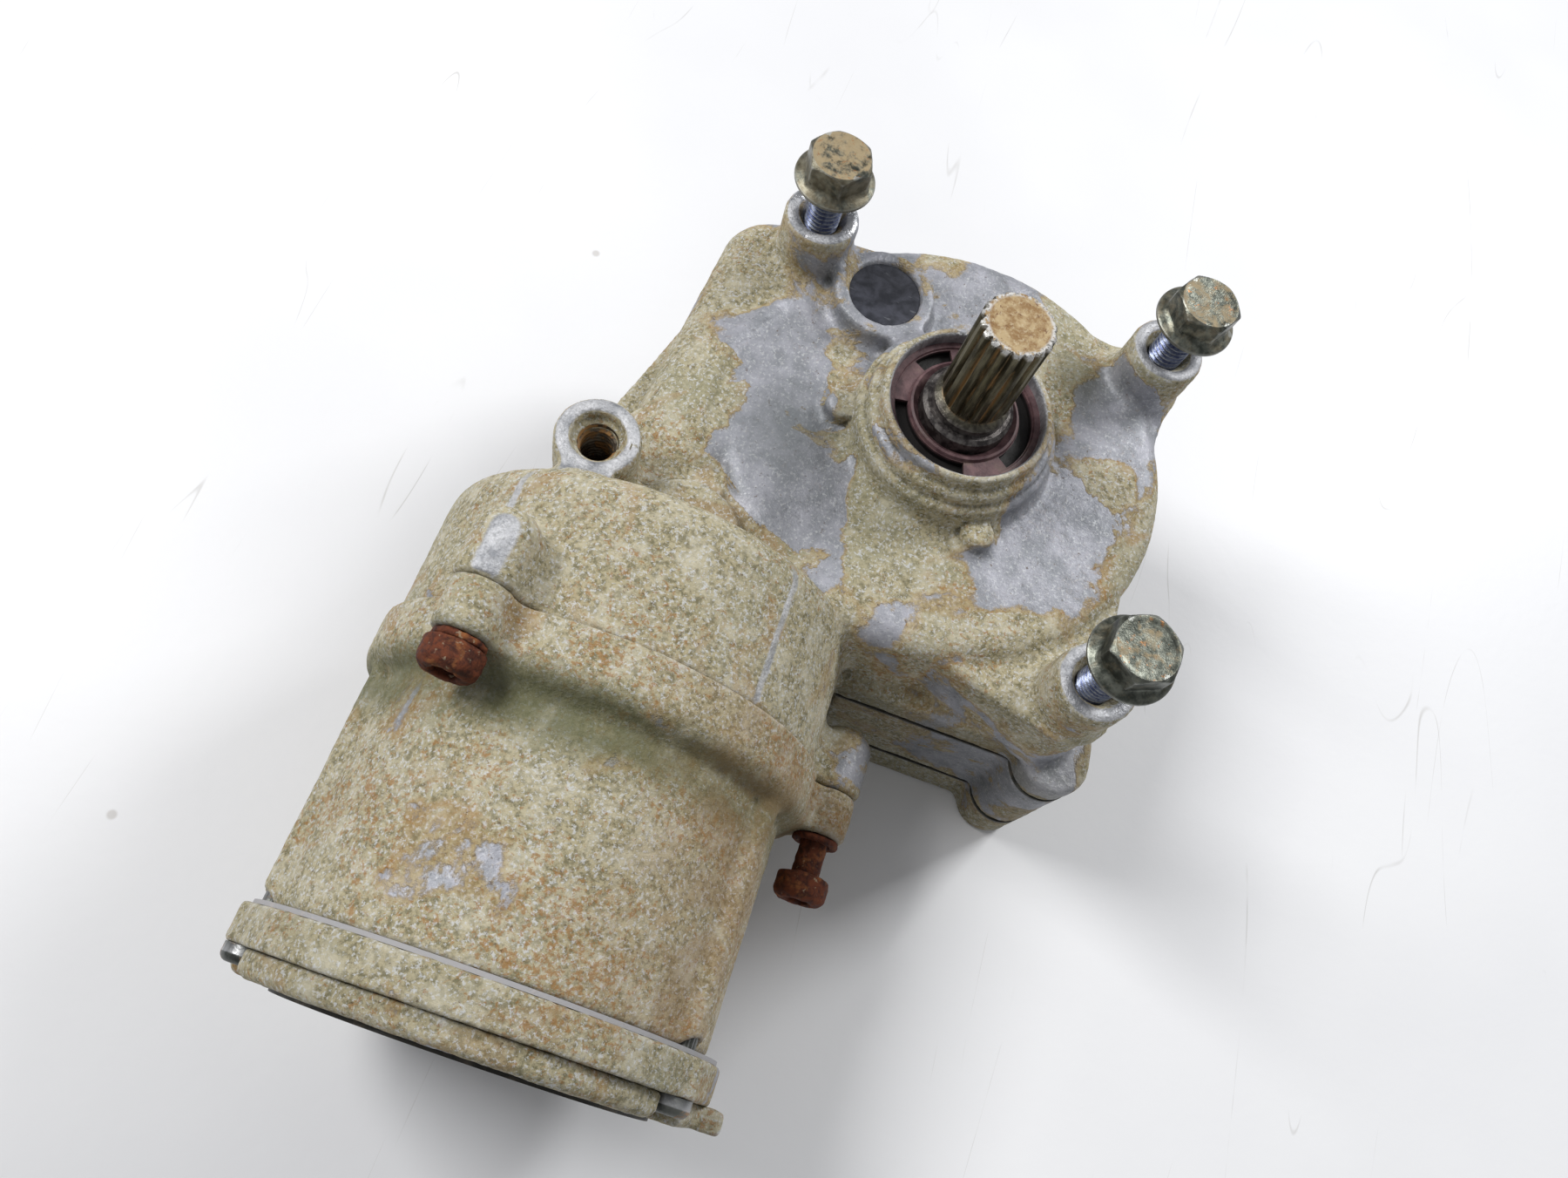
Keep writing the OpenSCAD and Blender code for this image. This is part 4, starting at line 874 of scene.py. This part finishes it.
def dress_cad_nodes():
    """Gives every CAD node that still shows its own procedural material."""
    steel = plain_metal("ground_steel", rgb(176, 176, 178), rgb(132, 132, 136), 0.28)
    finishes = {
        "steel": steel,
        "dark_steel": worn_steel("dark_zinc", rgb(96, 98, 92), rgb(54, 56, 52), 2.0, rust=0.35),
        "rusty_steel": crusted_rust("rusted_steel", 5.0),
        "cast_aluminium": cast_metal("cast_aluminium_inside", 17.0, film=0.2, rust=0.0),
        "gasket": rubber("gasket_sheet", rgb(62, 62, 56), rgb(38, 38, 34)),
        "cap_paint": rubber("cap_enamel", rgb(54, 52, 46), rgb(30, 30, 28), 5 * MM),
        "plug_plastic": plug_paint(),
        "seal_rubber": rubber(
            "seal_rubber_dusty", rgb(112, 86, 88), rgb(78, 56, 60), shade_below=-2.0 * MM
        ),
        "cage_brass": plain_metal("pressed_brass", rgb(196, 160, 96), rgb(160, 124, 66), 0.35),
        "gear_nylon": rubber("cream_nylon", rgb(226, 218, 192), rgb(206, 196, 168), 6 * MM),
        "lamination_steel": plain_metal(
            "laminations", rgb(104, 104, 106), rgb(74, 74, 78), 0.45, stretch=(0.2, 6, 0.2)
        ),
        "magnet_coating": plain_metal("magnet_epoxy", rgb(64, 64, 70), rgb(46, 46, 52), 0.4, 0.2),
        "copper_wire": plain_metal(
            "enamelled_copper", rgb(190, 112, 66), rgb(150, 80, 44), 0.3, stretch=(0.3, 0.3, 3)
        ),
    }
    for name, node in frame["nodes"].items():
        slot = node.data.materials[0].name.split(".")[0]
        node.material_slots[0].material = finishes[slot]
    frame["nodes"]["seal_plate"].material_slots[0].material = worn_steel(
        "stained_seal_plate", rgb(84, 70, 66), rgb(52, 44, 42), 7.0, rust=0.3,
        rust_colour=rgb(104, 78, 60), roughness=0.8, metallic=0.1
    )
    frame["nodes"]["output_shaft"].material_slots[0].material = shaft_steel()


# ---- Floor, light and camera -----------------------------------------------------


def build_stage():
    """Floor, pale surroundings, two soft windows, and a camera that looks down on the unit."""
    bpy.ops.mesh.primitive_grid_add(
        x_subdivisions=4, y_subdivisions=4, size=40, location=(0, 0, floor_z)
    )
    floor = bpy.context.object
    floor.name = "floor"
    floor.data.materials.append(floor_paint())

    world = bpy.data.worlds.new("studio")
    bpy.context.scene.world = world
    world.use_nodes = True
    background = world.node_tree.nodes["Background"]
    background.inputs["Color"].default_value = (0.97, 0.98, 1.0, 1)
    background.inputs["Strength"].default_value = 0.30

    def area(name, place, size, power, colour=(1, 1, 1)):
        light = bpy.data.lights.new(name, "AREA")
        light.size = size
        light.energy = power
        light.color = colour
        holder = bpy.data.objects.new(name, light)
        holder.location = place
        aim = Vector((-0.02, -0.05, -0.03)) - Vector(place)
        holder.rotation_euler = aim.to_track_quat("-Z", "Y").to_euler()
        bpy.context.scene.collection.objects.link(holder)

    area("left_window", (-0.75, 0.1, 0.85), 0.4, 9.6, (1.0, 0.99, 0.97))
    area("right_window", (0.62, 0.7, 0.75), 0.35, 8.2, (1.0, 1.0, 0.99))

    camera = bpy.data.cameras.new("camera")
    camera.lens = 26.28
    camera.sensor_width = 36
    camera.clip_start = 0.01
    holder = bpy.data.objects.new("camera", camera)
    right = Vector((0.9355, 0.3007, 0.1853)).normalized()
    up = Vector((-0.3498, 0.8620, 0.3669))
    up = (up - right * up.dot(right)).normalized()
    back = right.cross(up)
    turn = Matrix((right, up, back)).transposed().to_4x4()
    holder.matrix_world = Matrix.Translation((-0.0348, -0.1440, 0.2004)) @ turn
    bpy.context.scene.collection.objects.link(holder)
    bpy.context.scene.camera = holder
    bpy.context.scene.view_settings.view_transform = "Standard"


build_castings()
build_bolts()
dress_cad_nodes()
build_stage()
